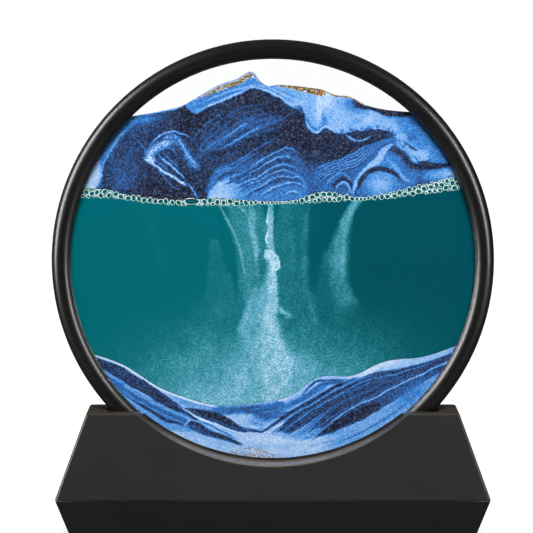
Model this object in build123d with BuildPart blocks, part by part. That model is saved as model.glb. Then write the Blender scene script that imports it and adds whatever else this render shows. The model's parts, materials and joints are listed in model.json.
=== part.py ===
"""A rotating sand picture: a round glass cell in a black ring that turns in a faceted desk base.

The cell holds tinted liquid, a band of bubbles, an air pocket and several colours of sand. The ring
stands in a soft liner inside the groove of the base, and is turned by hand to start the sand falling
again. Millimetres, +Z up, the viewer in front at -Y. The origin is on the surface that the object
stands on, below the middle of the base.
"""

import os
from math import cos, radians, sqrt, tan

from build123d import *

# ---------------------------------------------------------------- driving dimensions
RING_R = 90.0  # outer radius of the ring
BEAD_R = 4.0  # half-round radius of the ring's front and rear faces
RING_T = 14.0  # depth of the ring, front to back
CELL_GAP = 3.0  # space between the two panes
PANE_T = 2.0  # glass thickness
SEAL_T = 0.5  # silicone between each pane and its bezel
SPACER_W = 3.6  # radial width of the spacer that closes the cell

BASE_W = 175.3  # widest line of the base
BASE_D = 53.4  # depth at that line
FLARE = 19.8  # every side facet leans this many degrees from upright
TRAY_H = 16.0  # height of the lower shell
SHELL_H = 33.5  # height of the upper shell
FOOT_DROP = 1.5  # the feet stand out below the tray
WALL = 2.4  # moulded wall thickness
SADDLE_R = 84.5  # the round dip in the front and rear walls
SADDLE_RISE = 3.4  # its axis lies this far above the ring's, so it meets the edge of the glass
SADDLE_BEND_R = 9.0  # where the dip runs out into the top face
RING_FLOOR = 4.5  # lowest point of the ring above the parting line

# ---------------------------------------------------------------- worked out from those
BEAD_MID_R = RING_R - BEAD_R
BEAD_Y = RING_T / 2 - BEAD_R  # where the half-round starts
GLASS_Y = CELL_GAP / 2 + PANE_T  # outer face of a pane
LIP_Y = GLASS_Y + SEAL_T
LIP_R = BEAD_MID_R - sqrt(BEAD_R**2 - (LIP_Y - BEAD_Y) ** 2)  # opening in front of the glass
PANE_R = BEAD_MID_R + 0.2
REBATE_R = PANE_R + 0.4
CELL_R = PANE_R - SPACER_W
FILL_R = CELL_R - 0.05  # the contents, just clear of the spacer
FILL_Y = CELL_GAP / 2 - 0.05  # and of the panes

TRAY_Z = FOOT_DROP
MID_Z = TRAY_Z + TRAY_H
TOP_Z = MID_Z + SHELL_H
RING_Z = MID_Z + RING_FLOOR + RING_R
SLANT_WALL = WALL / cos(radians(FLARE))
LEAN = tan(radians(FLARE))

# ---------------------------------------------------------------- small features
OVER = 1.0  # how far a cut starts outside what it cuts
PANE_CHAMFER = 0.3
SEAL_SETBACK, SEAL_EDGE = 0.4, 0.5  # from the bezel's lip, and from the pane's rim
SPACER_INSET = 0.1
TONGUE_T, TONGUE_H, TONGUE_CLEAR = 1.6, 1.0, 0.1
TONGUE_R = REBATE_R + 1.7  # middle of the tongue that centres one bezel on the other
FILL_HOLE_R, PLUG_HEAD_R, PLUG_HEAD_H, PLUG_STEM_R = 2.8, 2.5, 2.2, 2.0
PLUG_EDGE_R, PLUG_CLEAR, PLUG_SHORT = 0.5, 0.04, 0.6

RING_CLEAR = 0.25  # all round between the ring and its liner
LINER_FLOOR_T, LINER_CHEEK_T, LINER_CLEAR = 0.8, 0.5, 0.2
LINER_PROUD = 1.0  # its edge shows as a dark line between the dip and the glass
LINER_R = RING_R + RING_CLEAR + LINER_FLOOR_T
LINER_HALF_W = RING_T / 2 + RING_CLEAR + LINER_CHEEK_T
GROOVE_R = LINER_R + LINER_CLEAR
GROOVE_HALF_W = LINER_HALF_W + LINER_CLEAR

FRONT_CORNER_R, REAR_CORNER_R = 1.2, 2.0  # slanted corners of the base
EDGE_R = 0.8  # edges round the top face and the dip
PARTING_CHAMFER = 0.4
BOTTOM_EDGE_R = 1.0
RIM_T, RIM_H, RIM_CLEAR = 1.0, 1.4, 0.15  # the tray's rim stands inside the upper shell

BOSS_X, BOSS_Y, BOSS_R, BOSS_TOP_Z = 56.0, 13.0, 3.4, 44.0
TRAY_BOSS_R = BOSS_R + 1.0
PILOT_R, PILOT_DEPTH = 1.3, 11.0
SHANK_R, SHANK_HOLE_R = 1.3, 1.7
HEAD_R, HEAD_H, HEAD_HOLE_R = 2.7, 1.8, 3.0
TRAY_SCREW_L, TRAY_SCREW_SEAT = 18.0, 8.0  # the heads seat this far above the tray's underside
RECESS_L, RECESS_W, RECESS_DEPTH = 2.6, 0.6, 1.0
BALLAST_W, BALLAST_D, BALLAST_T = 92.0, 30.0, 5.0
BALLAST_CORNER_R, BALLAST_CHAMFER = 2.0, 0.5
STANDOFF_R, STANDOFF_H = 5.0, 1.5
BALLAST_SCREW_X, BALLAST_SCREW_L = 36.0, 8.0
FOOT_X, FOOT_Y, FOOT_R, FOOT_SEAT = 73.0, 12.5, 5.5, 1.0
FOOT_CLEAR, FOOT_CHAMFER = 0.1, 0.6

# Seen from the front, x runs to the right and y upwards from the ring's axis.
FACE = Plane(origin=(0, 0, RING_Z), x_dir=(1, 0, 0), z_dir=(0, -1, 0))
DIP = Plane(origin=(0, 0, RING_Z + SADDLE_RISE), x_dir=(1, 0, 0), z_dir=(0, -1, 0))
# Sections of what is round about the ring's axis: x is the radius and y the depth.
SECTION = Plane.XY.offset(RING_Z)
RING_AXIS = Axis((0, 0, RING_Z), (0, 1, 0))

# ---------------------------------------------------------------- outlines of the cell's contents
# Each runs from left to right across the face, and both ends lie outside the cell.
RIDGE = [(-90, 56), (-55, 59.2), (-44, 61.2), (-37, 63), (-29.6, 67.2), (-21.6, 71.6)]
RIDGE += [(-15, 73.8), (-7.2, 76), (-5, 73), (-2.6, 71.3), (1.5, 71.5), (14, 70.5), (20.6, 69.4)]
RIDGE += [(25, 67.5), (31, 66.8), (38.3, 63.2), (45, 61.6), (56, 60.5), (90, 58)]
UNDERSIDE = [(-90, 29.5), (-70, 29.6), (-57, 26.6), (-40, 25), (-22, 25.6), (-5, 24.4)]
UNDERSIDE += [(10, 25.2), (19, 28.2), (36, 26), (52, 29), (66, 32.6), (90, 37)]
WATERLINE = [(-90, 26.4), (-62, 25), (-42, 22.8), (-10, 22.8), (12, 23.6), (40, 24.9), (90, 31)]
DUNES = [(-90, -33), (-71, -38.9), (-61, -42.8), (-46, -52.2), (-36, -56.2), (-22, -59.6)]
DUNES += [(-6, -58.4), (7, -55.6), (18, -48.2), (33, -47), (45, -41.6), (62, -39.2), (90, -28)]
BELOW_CELL = [(-90, -90), (0, -90.1), (90, -90)]
# A sheet of falling sand is given by its middle, its height and half its width, from the top down.
MAIN_FALL = [(-0.2, 22.9, 0.9), (-0.8, 10, 1.2), (-1.6, 1, 3.0), (-1.2, -8, 2.0), (-1.2, -24, 5)]
MAIN_FALL += [(-1.4, -42, 7.6), (-2.0, -60, 9.4)]
LEFT_FALL = [(-12, 22.9, 1.2), (-8.6, 8, 1.8), (-7, -6, 1.2)]
RIGHT_FALL = [(35, 24.7, 1.2), (31, 10, 1.8), (30, -6, 1.2)]
FALL_Y = 1.0  # half the depth of a falling sheet
# Gold sand lies on the ridge in two long wedges and in one patch under the dunes.
LEFT_GOLD = [(-31, 66), (-27, 67), (-21, 69.3), (-15, 71.4), (-9.7, 72.8), (-5.6, 72.9), (-5.4, 84)]
RIGHT_GOLD = [(1, 71.3), (8, 69.8), (14, 68.4), (20, 67.2), (23, 67.6), (26, 66.9), (31, 66.3), (35, 64.5)]
RIGHT_GOLD += [(38, 62.9), (39, 84)]
LOWER_GOLD = [(-20, -77.4), (-8, -77.6), (5, -79.4), (7, -90), (-22, -90)]
GOLD = [[*LEFT_GOLD, (-34, 84)], [*RIGHT_GOLD, (1, 84)], LOWER_GOLD]

os.makedirs("parts", exist_ok=True)


def keep(piece, name):
    """Labels a finished sub-part and writes it as its own STEP file."""
    piece.part.label = name
    export_step(piece.part, f"parts/{name}.step")


# ================================================================ ring: bezels, glass and seals
def half_bezel(side):
    """The section of the front bezel (side -1) or the rear bezel (side 1)."""
    with BuildLine() as outline:
        Polyline((LIP_R, side * LIP_Y), (REBATE_R, side * LIP_Y), (REBATE_R, 0), (RING_R, 0))
        Line((RING_R, 0), (RING_R, side * BEAD_Y))
        crown = (BEAD_MID_R, side * RING_T / 2)
        ThreePointArc((RING_R, side * BEAD_Y), crown, (LIP_R, side * LIP_Y))
    make_face(outline.edges())


def disc(outer_r, inner_r, y_low, y_high, mode=Mode.ADD):
    """A flat ring, or a disc where the inner radius is 0, about the ring's axis."""
    with BuildSketch(FACE.offset(-y_high)) as outline:
        Circle(outer_r)
        if inner_r:
            Circle(inner_r, mode=Mode.SUBTRACT)
    extrude(outline.sketch, amount=y_high - y_low, mode=mode)


def fill_bore(radius):
    """The opening at the foot of the ring through which the cell is filled."""
    with BuildSketch(Plane.XY.offset(RING_Z - RING_R - OVER)) as outline:
        Circle(radius)
    extrude(outline.sketch, amount=RING_R - LIP_R + 2 * OVER, mode=Mode.SUBTRACT)


with BuildPart() as front_bezel:
    with BuildSketch(SECTION):
        half_bezel(-1)
        with Locations((TONGUE_R, (TONGUE_H - OVER) / 2)):
            Rectangle(TONGUE_T, TONGUE_H + OVER)
    revolve(axis=RING_AXIS)
    fill_bore(FILL_HOLE_R)
keep(front_bezel, "front_bezel")

with BuildPart() as rear_bezel:
    with BuildSketch(SECTION):
        half_bezel(1)
        with Locations((TONGUE_R, (TONGUE_H + TONGUE_CLEAR) / 2)):
            Rectangle(TONGUE_T + 2 * TONGUE_CLEAR, TONGUE_H + TONGUE_CLEAR, mode=Mode.SUBTRACT)
    revolve(axis=RING_AXIS)
    fill_bore(FILL_HOLE_R)
keep(rear_bezel, "rear_bezel")

with BuildPart() as front_glass:
    disc(PANE_R, 0, -GLASS_Y, -CELL_GAP / 2)
    chamfer(front_glass.edges(), PANE_CHAMFER)
keep(front_glass, "front_glass")

with BuildPart() as rear_glass:
    disc(PANE_R, 0, CELL_GAP / 2, GLASS_Y)
    chamfer(rear_glass.edges(), PANE_CHAMFER)
keep(rear_glass, "rear_glass")

with BuildPart() as front_seal:
    disc(PANE_R - SEAL_EDGE, LIP_R + SEAL_SETBACK, -LIP_Y, -GLASS_Y)
keep(front_seal, "front_seal")

with BuildPart() as rear_seal:
    disc(PANE_R - SEAL_EDGE, LIP_R + SEAL_SETBACK, GLASS_Y, LIP_Y)
keep(rear_seal, "rear_seal")

with BuildPart() as cell_spacer:
    disc(PANE_R - SPACER_INSET, CELL_R, -CELL_GAP / 2, CELL_GAP / 2)
    with BuildSketch(Plane.XY.offset(RING_Z - PANE_R - OVER)):
        Rectangle(2 * PLUG_STEM_R, CELL_GAP)
    extrude(amount=SPACER_W + 2 * OVER, mode=Mode.SUBTRACT)
keep(cell_spacer, "cell_spacer")

plug_seat_z = RING_Z - PANE_R - SPACER_INSET
with BuildPart() as fill_plug:
    with BuildSketch(Plane.XY.offset(plug_seat_z - PLUG_HEAD_H)):
        Circle(PLUG_HEAD_R)
    extrude(amount=PLUG_HEAD_H)
    fillet(fill_plug.faces().sort_by(Axis.Z)[0].edges(), PLUG_EDGE_R)
    with BuildSketch(Plane.XY.offset(plug_seat_z)):
        Rectangle(2 * PLUG_STEM_R - PLUG_CLEAR, CELL_GAP - PLUG_CLEAR)
    extrude(amount=SPACER_W - PLUG_SHORT)
keep(fill_plug, "fill_plug")


# ================================================================ the cell's contents
def band(upper_points, lower_points):
    """The part of the cell between two outlines."""
    with BuildLine() as outline:
        upper = Spline(*upper_points)
        lower = Spline(*lower_points)
        Line(upper @ 0, lower @ 0)
        Line(upper @ 1, lower @ 1)
    make_face(outline.edges())
    Circle(FILL_R, mode=Mode.INTERSECT)


def fall(stations):
    """A sheet of falling sand, narrow where it starts and spreading as it drops."""
    with BuildLine() as outline:
        left = Spline(*[(x - half, y) for x, y, half in stations])
        right = Spline(*[(x + half, y) for x, y, half in stations])
        Line(left @ 0, right @ 0)
        Line(left @ 1, right @ 1)
    make_face(outline.edges())


with BuildSketch() as upper_area:
    band(RIDGE, UNDERSIDE)
with BuildSketch() as bubble_area:
    band(UNDERSIDE, WATERLINE)
with BuildSketch() as dune_area:
    band(DUNES, BELOW_CELL)
with BuildSketch() as gold_area:
    for corners in GOLD:
        with BuildLine():
            Polyline(*corners, close=True)
        make_face()
with BuildSketch() as fall_area:
    for stations in (MAIN_FALL, LEFT_FALL, RIGHT_FALL):
        fall(stations)
    add(dune_area.sketch, mode=Mode.SUBTRACT)
    add(bubble_area.sketch, mode=Mode.SUBTRACT)

with BuildPart() as upper_sand:
    with BuildSketch(FACE):
        add(upper_area.sketch)
        add(gold_area.sketch, mode=Mode.SUBTRACT)
    extrude(amount=FILL_Y, both=True)
keep(upper_sand, "upper_sand")

with BuildPart() as lower_sand:
    with BuildSketch(FACE):
        add(dune_area.sketch)
        add(gold_area.sketch, mode=Mode.SUBTRACT)
    extrude(amount=FILL_Y, both=True)
keep(lower_sand, "lower_sand")

with BuildPart() as gold_sand:
    with BuildSketch(FACE):
        add(upper_area.sketch)
        add(dune_area.sketch)
        add(gold_area.sketch, mode=Mode.INTERSECT)
    extrude(amount=FILL_Y, both=True)
keep(gold_sand, "gold_sand")

with BuildPart() as bubble_layer:
    with BuildSketch(FACE):
        add(bubble_area.sketch)
    extrude(amount=FILL_Y, both=True)
keep(bubble_layer, "bubble_layer")

with BuildPart() as falling_sand:
    with BuildSketch(FACE):
        add(fall_area.sketch)
    extrude(amount=FALL_Y, both=True)
keep(falling_sand, "falling_sand")

with BuildPart() as liquid:
    with BuildSketch(FACE):
        band(WATERLINE, DUNES)
    extrude(amount=FILL_Y, both=True)
    with BuildSketch(FACE):
        add(fall_area.sketch)
    extrude(amount=FALL_Y, both=True, mode=Mode.SUBTRACT)
keep(liquid, "liquid")


# ================================================================ base
def frustum(plane, width, depth, height, mode=Mode.ADD):
    """A block that stands on a plane and leans in by the flare angle on all four sides."""
    with BuildSketch(plane) as outline:
        Rectangle(width, depth)
    extrude(outline.sketch, amount=height, taper=FLARE, mode=mode)


def across(plane, radius, half_width, mode):
    """A round bar along Y, for the dip, the groove and the walls round them."""
    with BuildSketch(plane) as outline:
        Circle(radius)
    extrude(outline.sketch, amount=half_width, both=True, mode=mode)


def posts(x, y, radius, z_low, z_high, mode=Mode.ADD):
    """Four upright round bars, or two where y is 0."""
    with BuildSketch(Plane.XY.offset(z_low)) as outline:
        with GridLocations(2 * x, 2 * y, 2, 2 if y else 1):
            Circle(radius)
    extrude(outline.sketch, amount=z_high - z_low, mode=mode)


def slanted(part, side):
    """The leaning corner edges on the front (side -1) or at the back (side 1)."""
    leaning = [e for e in part.edges() if abs(e.tangent_at(0).Z) > 0.5]
    return [e for e in leaning if e.center().Y * side > 0]


UPWARD = Plane.XY.offset(MID_Z)
DOWNWARD = Plane(origin=(0, 0, MID_Z), x_dir=(1, 0, 0), z_dir=(0, 0, -1))

with BuildPart() as shell_cavity:
    frustum(UPWARD, BASE_W - 2 * SLANT_WALL, BASE_D - 2 * SLANT_WALL, SHELL_H - WALL)
    across(DIP, SADDLE_R + WALL, BASE_D, Mode.SUBTRACT)
    across(FACE, GROOVE_R + WALL, GROOVE_HALF_W + WALL, Mode.SUBTRACT)

with BuildPart() as base_shell:
    frustum(UPWARD, BASE_W, BASE_D, SHELL_H)
    fillet(slanted(base_shell, -1), FRONT_CORNER_R)
    fillet(slanted(base_shell, 1), REAR_CORNER_R)
    chamfer(base_shell.faces().sort_by(Axis.Z)[0].edges(), PARTING_CHAMFER)
    with BuildSketch(Plane.XZ) as elevation:
        with Locations((0, MID_Z + SHELL_H / 2)):
            Rectangle(BASE_W + 2 * OVER, SHELL_H)
        with Locations((0, RING_Z + SADDLE_RISE)):
            Circle(SADDLE_R, mode=Mode.SUBTRACT)
        brink = [v for v in elevation.vertices() if v.Z > MID_Z + SHELL_H / 2 and abs(v.X) < BASE_W / 2]
        fillet(brink, SADDLE_BEND_R)
    extrude(amount=BASE_D, both=True, mode=Mode.INTERSECT)
    facing_up = [f for f in base_shell.faces() if f.normal_at().Z > 0.5]
    rims = [e for f in facing_up for e in f.edges() if abs(e.tangent_at(0.5).Y) < 0.5]
    fillet(rims, EDGE_R)
    across(FACE, GROOVE_R, GROOVE_HALF_W, Mode.SUBTRACT)
    add(shell_cavity.part, mode=Mode.SUBTRACT)
    posts(BOSS_X, BOSS_Y, BOSS_R, MID_Z, BOSS_TOP_Z)
    posts(BOSS_X, BOSS_Y, PILOT_R, MID_Z, MID_Z + PILOT_DEPTH, Mode.SUBTRACT)
keep(base_shell, "base_shell")

with BuildPart() as groove_liner:
    across(FACE, LINER_R, LINER_HALF_W, Mode.ADD)
    across(FACE, RING_R + RING_CLEAR, RING_T / 2 + RING_CLEAR, Mode.SUBTRACT)
    across(DIP, SADDLE_R - LINER_PROUD, BASE_D, Mode.SUBTRACT)
    split(bisect_by=Plane.XY.offset(TOP_Z - EDGE_R), keep=Keep.BOTTOM)
keep(groove_liner, "groove_liner")

with BuildPart() as base_tray:
    frustum(DOWNWARD, BASE_W, BASE_D, TRAY_H)
    fillet(slanted(base_tray, -1), FRONT_CORNER_R)
    fillet(slanted(base_tray, 1), REAR_CORNER_R)
    chamfer(base_tray.faces().sort_by(Axis.Z)[-1].edges(), PARTING_CHAMFER)
    fillet(base_tray.faces().sort_by(Axis.Z)[0].edges(), BOTTOM_EDGE_R)
    frustum(DOWNWARD, BASE_W - 2 * SLANT_WALL, BASE_D - 2 * SLANT_WALL, TRAY_H - WALL, Mode.SUBTRACT)
    rim_w = BASE_W - 2 * (SLANT_WALL + RIM_CLEAR + RIM_H * LEAN)
    rim_d = rim_w - BASE_W + BASE_D
    for z_low, z_high, grow in ((-RIM_T, 0, SLANT_WALL), (0, RIM_H, 0)):
        with BuildSketch(UPWARD.offset(z_low)):
            Rectangle(rim_w + grow, rim_d + grow)
            Rectangle(rim_w - 2 * RIM_T, rim_d - 2 * RIM_T, mode=Mode.SUBTRACT)
        extrude(amount=z_high - z_low)
    posts(BOSS_X, BOSS_Y, TRAY_BOSS_R, TRAY_Z + WALL / 2, MID_Z)
    posts(BALLAST_SCREW_X, 0, STANDOFF_R, TRAY_Z + WALL, TRAY_Z + WALL + STANDOFF_H)
    posts(BOSS_X, BOSS_Y, SHANK_HOLE_R, TRAY_Z, MID_Z, Mode.SUBTRACT)
    posts(BOSS_X, BOSS_Y, HEAD_HOLE_R, TRAY_Z, TRAY_Z + TRAY_SCREW_SEAT, Mode.SUBTRACT)
    ballast_z = TRAY_Z + WALL + STANDOFF_H
    screw_tip_z = ballast_z + BALLAST_T - BALLAST_SCREW_L
    posts(BALLAST_SCREW_X, 0, PILOT_R, screw_tip_z, ballast_z, Mode.SUBTRACT)
    posts(FOOT_X, FOOT_Y, FOOT_R, TRAY_Z, TRAY_Z + FOOT_SEAT, Mode.SUBTRACT)
keep(base_tray, "base_tray")

with BuildPart() as ballast_plate:
    with BuildSketch(Plane.XY.offset(ballast_z)):
        RectangleRounded(BALLAST_W, BALLAST_D, BALLAST_CORNER_R)
        with GridLocations(2 * BALLAST_SCREW_X, 0, 2, 1):
            Circle(SHANK_HOLE_R, mode=Mode.SUBTRACT)
    extrude(amount=BALLAST_T)
    chamfer(ballast_plate.faces().sort_by(Axis.Z)[-1].outer_wire().edges(), BALLAST_CHAMFER)
keep(ballast_plate, "ballast_plate")


def drive_recess(x, y, z):
    """Cuts the cross recess of a screw head, from either side of the height of its face."""
    with BuildSketch(Plane.XY.offset(z - RECESS_DEPTH)) as outline:
        with GridLocations(2 * x, 2 * y, 2, 2 if y else 1):
            Rectangle(RECESS_L, RECESS_W)
            Rectangle(RECESS_W, RECESS_L)
    extrude(outline.sketch, amount=2 * RECESS_DEPTH, mode=Mode.SUBTRACT)


with BuildPart() as tray_screws:
    seat_z = TRAY_Z + TRAY_SCREW_SEAT
    posts(BOSS_X, BOSS_Y, HEAD_R, seat_z - HEAD_H, seat_z)
    posts(BOSS_X, BOSS_Y, SHANK_R, seat_z, seat_z + TRAY_SCREW_L)
    drive_recess(BOSS_X, BOSS_Y, seat_z - HEAD_H)
keep(tray_screws, "tray_screws")

with BuildPart() as ballast_screws:
    seat_z = ballast_z + BALLAST_T
    posts(BALLAST_SCREW_X, 0, SHANK_R, seat_z - BALLAST_SCREW_L, seat_z)
    posts(BALLAST_SCREW_X, 0, HEAD_R, seat_z, seat_z + HEAD_H)
    drive_recess(BALLAST_SCREW_X, 0, seat_z + HEAD_H)
keep(ballast_screws, "ballast_screws")

with BuildPart() as rubber_feet:
    posts(FOOT_X, FOOT_Y, FOOT_R - FOOT_CLEAR, 0, TRAY_Z + FOOT_SEAT)
    chamfer(rubber_feet.faces().group_by(Axis.Z)[0].edges(), FOOT_CHAMFER)
keep(rubber_feet, "rubber_feet")
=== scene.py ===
"""The looks of a rotating sand picture, built round its CAD model.

Lengths in the picture are millimetres from the ring's axis, seen from the front: u to the right and
v upwards. place() turns them into the frame's metres. Sizes in materials are metres.
"""

import json
import math

import bmesh
import bpy
import numpy as np
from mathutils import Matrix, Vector


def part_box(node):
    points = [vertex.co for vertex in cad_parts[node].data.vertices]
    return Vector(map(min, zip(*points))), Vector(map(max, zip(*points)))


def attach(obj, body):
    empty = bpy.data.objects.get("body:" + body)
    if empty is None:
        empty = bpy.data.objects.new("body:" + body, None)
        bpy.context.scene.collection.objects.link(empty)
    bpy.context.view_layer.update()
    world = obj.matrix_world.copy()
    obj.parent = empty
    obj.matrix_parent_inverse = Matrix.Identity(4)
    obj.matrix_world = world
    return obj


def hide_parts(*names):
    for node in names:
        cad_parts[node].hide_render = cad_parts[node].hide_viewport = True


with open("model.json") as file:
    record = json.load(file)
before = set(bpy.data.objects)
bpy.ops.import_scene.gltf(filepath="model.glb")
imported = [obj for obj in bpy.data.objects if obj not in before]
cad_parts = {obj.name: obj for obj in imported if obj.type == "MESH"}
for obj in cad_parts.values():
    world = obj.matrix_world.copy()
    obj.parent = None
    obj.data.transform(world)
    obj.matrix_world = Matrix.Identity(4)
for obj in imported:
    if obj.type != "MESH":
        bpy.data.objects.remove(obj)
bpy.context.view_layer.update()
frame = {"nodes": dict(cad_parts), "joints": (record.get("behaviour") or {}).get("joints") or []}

MM = 0.001
AXIS = Vector(frame["joints"][0]["pos_m"])
CELL_LOW, CELL_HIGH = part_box("liquid")
CELL_R = (CELL_HIGH.x - CELL_LOW.x) / 2 / MM
CELL_Y = CELL_HIGH.y / MM

# ---------------------------------------------------------------- outlines of the cell's contents
RIDGE = [(-90, 56), (-55, 59.2), (-44, 61.2), (-37, 63), (-29.6, 67.2), (-21.6, 71.6), (-15, 73.8)]
RIDGE += [(-7.2, 76), (-5, 73), (-2.6, 71.3), (1.5, 71.5), (14, 70.5), (20.6, 69.4), (25, 67.5)]
RIDGE += [(31, 66.8), (38.3, 63.2), (45, 61.6), (56, 60.5), (90, 58)]
UNDERSIDE = [(-90, 29.5), (-70, 29.6), (-57, 26.6), (-40, 25), (-22, 25.6), (-5, 24.4)]
UNDERSIDE += [(10, 25.2), (19, 28.2), (36, 26), (52, 29), (66, 32.6), (90, 37)]
WATERLINE = [(-90, 26.4), (-62, 25), (-42, 22.8), (-10, 22.8), (12, 23.6), (40, 24.9), (90, 31)]
DUNES = [(-90, -33), (-71, -38.9), (-61, -42.8), (-46, -52.2), (-36, -56.2), (-22, -59.6)]
DUNES += [(-6, -58.4), (7, -55.6), (18, -48.2), (33, -47), (45, -41.6), (62, -39.2), (90, -28)]


# ================================================================ curves and noise
def hermite(s, values, at):
    """A smooth curve through values at the increasing stations s."""
    slopes = np.gradient(values, s)
    i = np.clip(np.searchsorted(s, at) - 1, 0, len(s) - 2)
    h = s[i + 1] - s[i]
    t = np.clip((at - s[i]) / h, 0, 1)
    a = (1 + 2 * t) * (1 - t) ** 2 * values[i] + t * (1 - t) ** 2 * h * slopes[i]
    return a + t * t * (3 - 2 * t) * values[i + 1] - t * t * (1 - t) * h * slopes[i + 1]


def graph(points):
    """v as a function of u, through points that run from left to right."""
    us, vs = np.array(points, float).T
    return lambda u: hermite(us, vs, np.asarray(u, float))


def path(points, step=0.25):
    """Closely spaced points along a smooth line through the given ones."""
    p = np.array(points, float)
    s = np.concatenate([[0], np.cumsum(np.linalg.norm(np.diff(p, axis=0), axis=1))])
    at = np.linspace(0, s[-1], max(3, int(s[-1] / step)))
    return np.column_stack([hermite(s, p[:, 0], at), hermite(s, p[:, 1], at)])


NOISE_CELLS = 256  # the noise repeats after this many cells
NOISE_SHIFT = 1000.0  # moves the grid's corner out of the picture


def noise(u, v, cell, seed):
    """Smooth noise from 0 to 1 with features of about the cell's size."""
    grid = np.random.default_rng(seed).random((NOISE_CELLS, NOISE_CELLS))
    x, y = u / cell + NOISE_SHIFT, v / cell + NOISE_SHIFT
    i, j = np.floor(x).astype(int), np.floor(y).astype(int)
    fx, fy = x - i, y - j
    fx, fy = fx * fx * (3 - 2 * fx), fy * fy * (3 - 2 * fy)
    left, low_row = i % NOISE_CELLS, j % NOISE_CELLS
    right, high_row = (i + 1) % NOISE_CELLS, (j + 1) % NOISE_CELLS
    low = grid[left, low_row] * (1 - fx) + grid[right, low_row] * fx
    high = grid[left, high_row] * (1 - fx) + grid[right, high_row] * fx
    return low * (1 - fy) + high * fy


def smooth(x, low, high):
    """0 below low, 1 above high and a smooth step between them."""
    t = np.clip((x - low) / (high - low), 0, 1)
    return t * t * (3 - 2 * t)


# ================================================================ painting sand layers
class Canvas:
    """A tone for every point of a sand mass, from 0 (black grains) to 1 (white grains).

    loose says how far dark and white grains stay apart instead of being one tone, and wobble how uneven
    the outlines get, in millimetres.
    """

    def __init__(self, u, v, seed, tone, wobble=0.5):
        self.u = u + 0.5 * (noise(u, v, 3.1, seed) - 0.5) + wobble * (noise(u, v, 0.9, seed + 1) - 0.5)
        self.v = v + 0.5 * (noise(u, v, 3.1, seed + 2) - 0.5) + wobble * (noise(u, v, 0.9, seed + 3) - 0.5)
        self.tone = np.full(u.shape, float(tone))
        self.loose = np.zeros(u.shape)

    def lay(self, cover, tone):
        """Mixes in a tone where cover is above 0."""
        self.tone += cover * (tone - self.tone)

    def between(self, upper, lower, tone, soft=0.3, strength=1.0, taper=5.0):
        """A layer between two lines, over the length that both have, thinning out towards its ends."""
        left = max(upper[0][0], lower[0][0])
        right = min(upper[-1][0], lower[-1][0])
        high, low = graph(upper)(self.u), graph(lower)(self.u)
        ends = smooth(self.u, left, left + taper) * smooth(-self.u, -right, taper - right)
        half = (high - low) / 2 * ends
        cover = 1 - smooth(np.abs(self.v - (high + low) / 2) - half, -soft, soft)
        self.lay(cover * (half > 0.02) * strength, tone)

    def stroke(self, points, width, tone, soft=0.35, strength=1.0, taper=0.25, loose=0.0):
        """A line of grains along a path, thinner towards its ends."""
        line = path(points)
        reach = width + soft
        low, high = line.min(0) - reach, line.max(0) + reach
        near = (self.u > low[0]) & (self.u < high[0]) & (self.v > low[1]) & (self.v < high[1])
        near = np.flatnonzero(near)
        if not len(near):
            return
        du = self.u[near][:, None] - line[:, 0]
        dv = self.v[near][:, None] - line[:, 1]
        d2 = du * du + dv * dv
        nearest = d2.argmin(1)
        d = np.sqrt(d2[np.arange(len(near)), nearest])
        along = nearest / (len(line) - 1)
        half = width / 2 * smooth(np.minimum(along, 1 - along) + 0.02, 0, taper)
        cover = strength * (1 - smooth(d - half, -soft / 2, soft))
        cover *= smooth(np.minimum(along, 1 - along) + 0.05, 0, 0.1)
        self.tone[near] += cover * (tone - self.tone[near])
        self.loose[near] += cover * (loose - self.loose[near])

    def glow(self, u, v, reach_u, reach_v, tone, strength=1.0, turn=0.0):
        """A soft patch, turned by an angle in degrees."""
        c, s = math.cos(math.radians(turn)), math.sin(math.radians(turn))
        x = ((self.u - u) * c + (self.v - v) * s) / reach_u
        y = ((self.v - v) * c - (self.u - u) * s) / reach_v
        self.lay(strength * np.exp(-(x * x + y * y)), tone)

    def veil(self, stations, tone):
        """A falling curtain: middle, height and half width from the top down."""
        s = np.array(stations[::-1], float)
        middle = hermite(s[:, 1], s[:, 0], self.v)
        half = hermite(s[:, 1], s[:, 2], self.v)
        cover = 1 - smooth(np.abs(self.u - middle) / half, 0.55, 1.25)
        cover *= smooth(self.v, s[0, 1] - 8, s[0, 1] + 10) * (self.v < s[-1, 1] + 1)
        self.lay(cover * (tone > self.tone), tone)

    def attributes(self):
        return {"tone": self.tone, "loose": self.loose}


def shifted(line, drop):
    """The same line, lower down, or higher up where drop is negative."""
    return [(a, b - drop) for a, b in line]


def arc(u, v, reach_u, reach_v, start, end):
    """Points along an ellipse about (u, v), between two angles in degrees from its right end."""
    turns = np.radians(np.linspace(start, end, 7))
    return [(u + reach_u * math.cos(a), v + reach_v * math.sin(a)) for a in turns]


def blend(first, second, share):
    """The line between two lines with as many points."""
    return [(a[0] + share * (b[0] - a[0]), a[1] + share * (b[1] - a[1])) for a, b in zip(first, second)]


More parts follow.
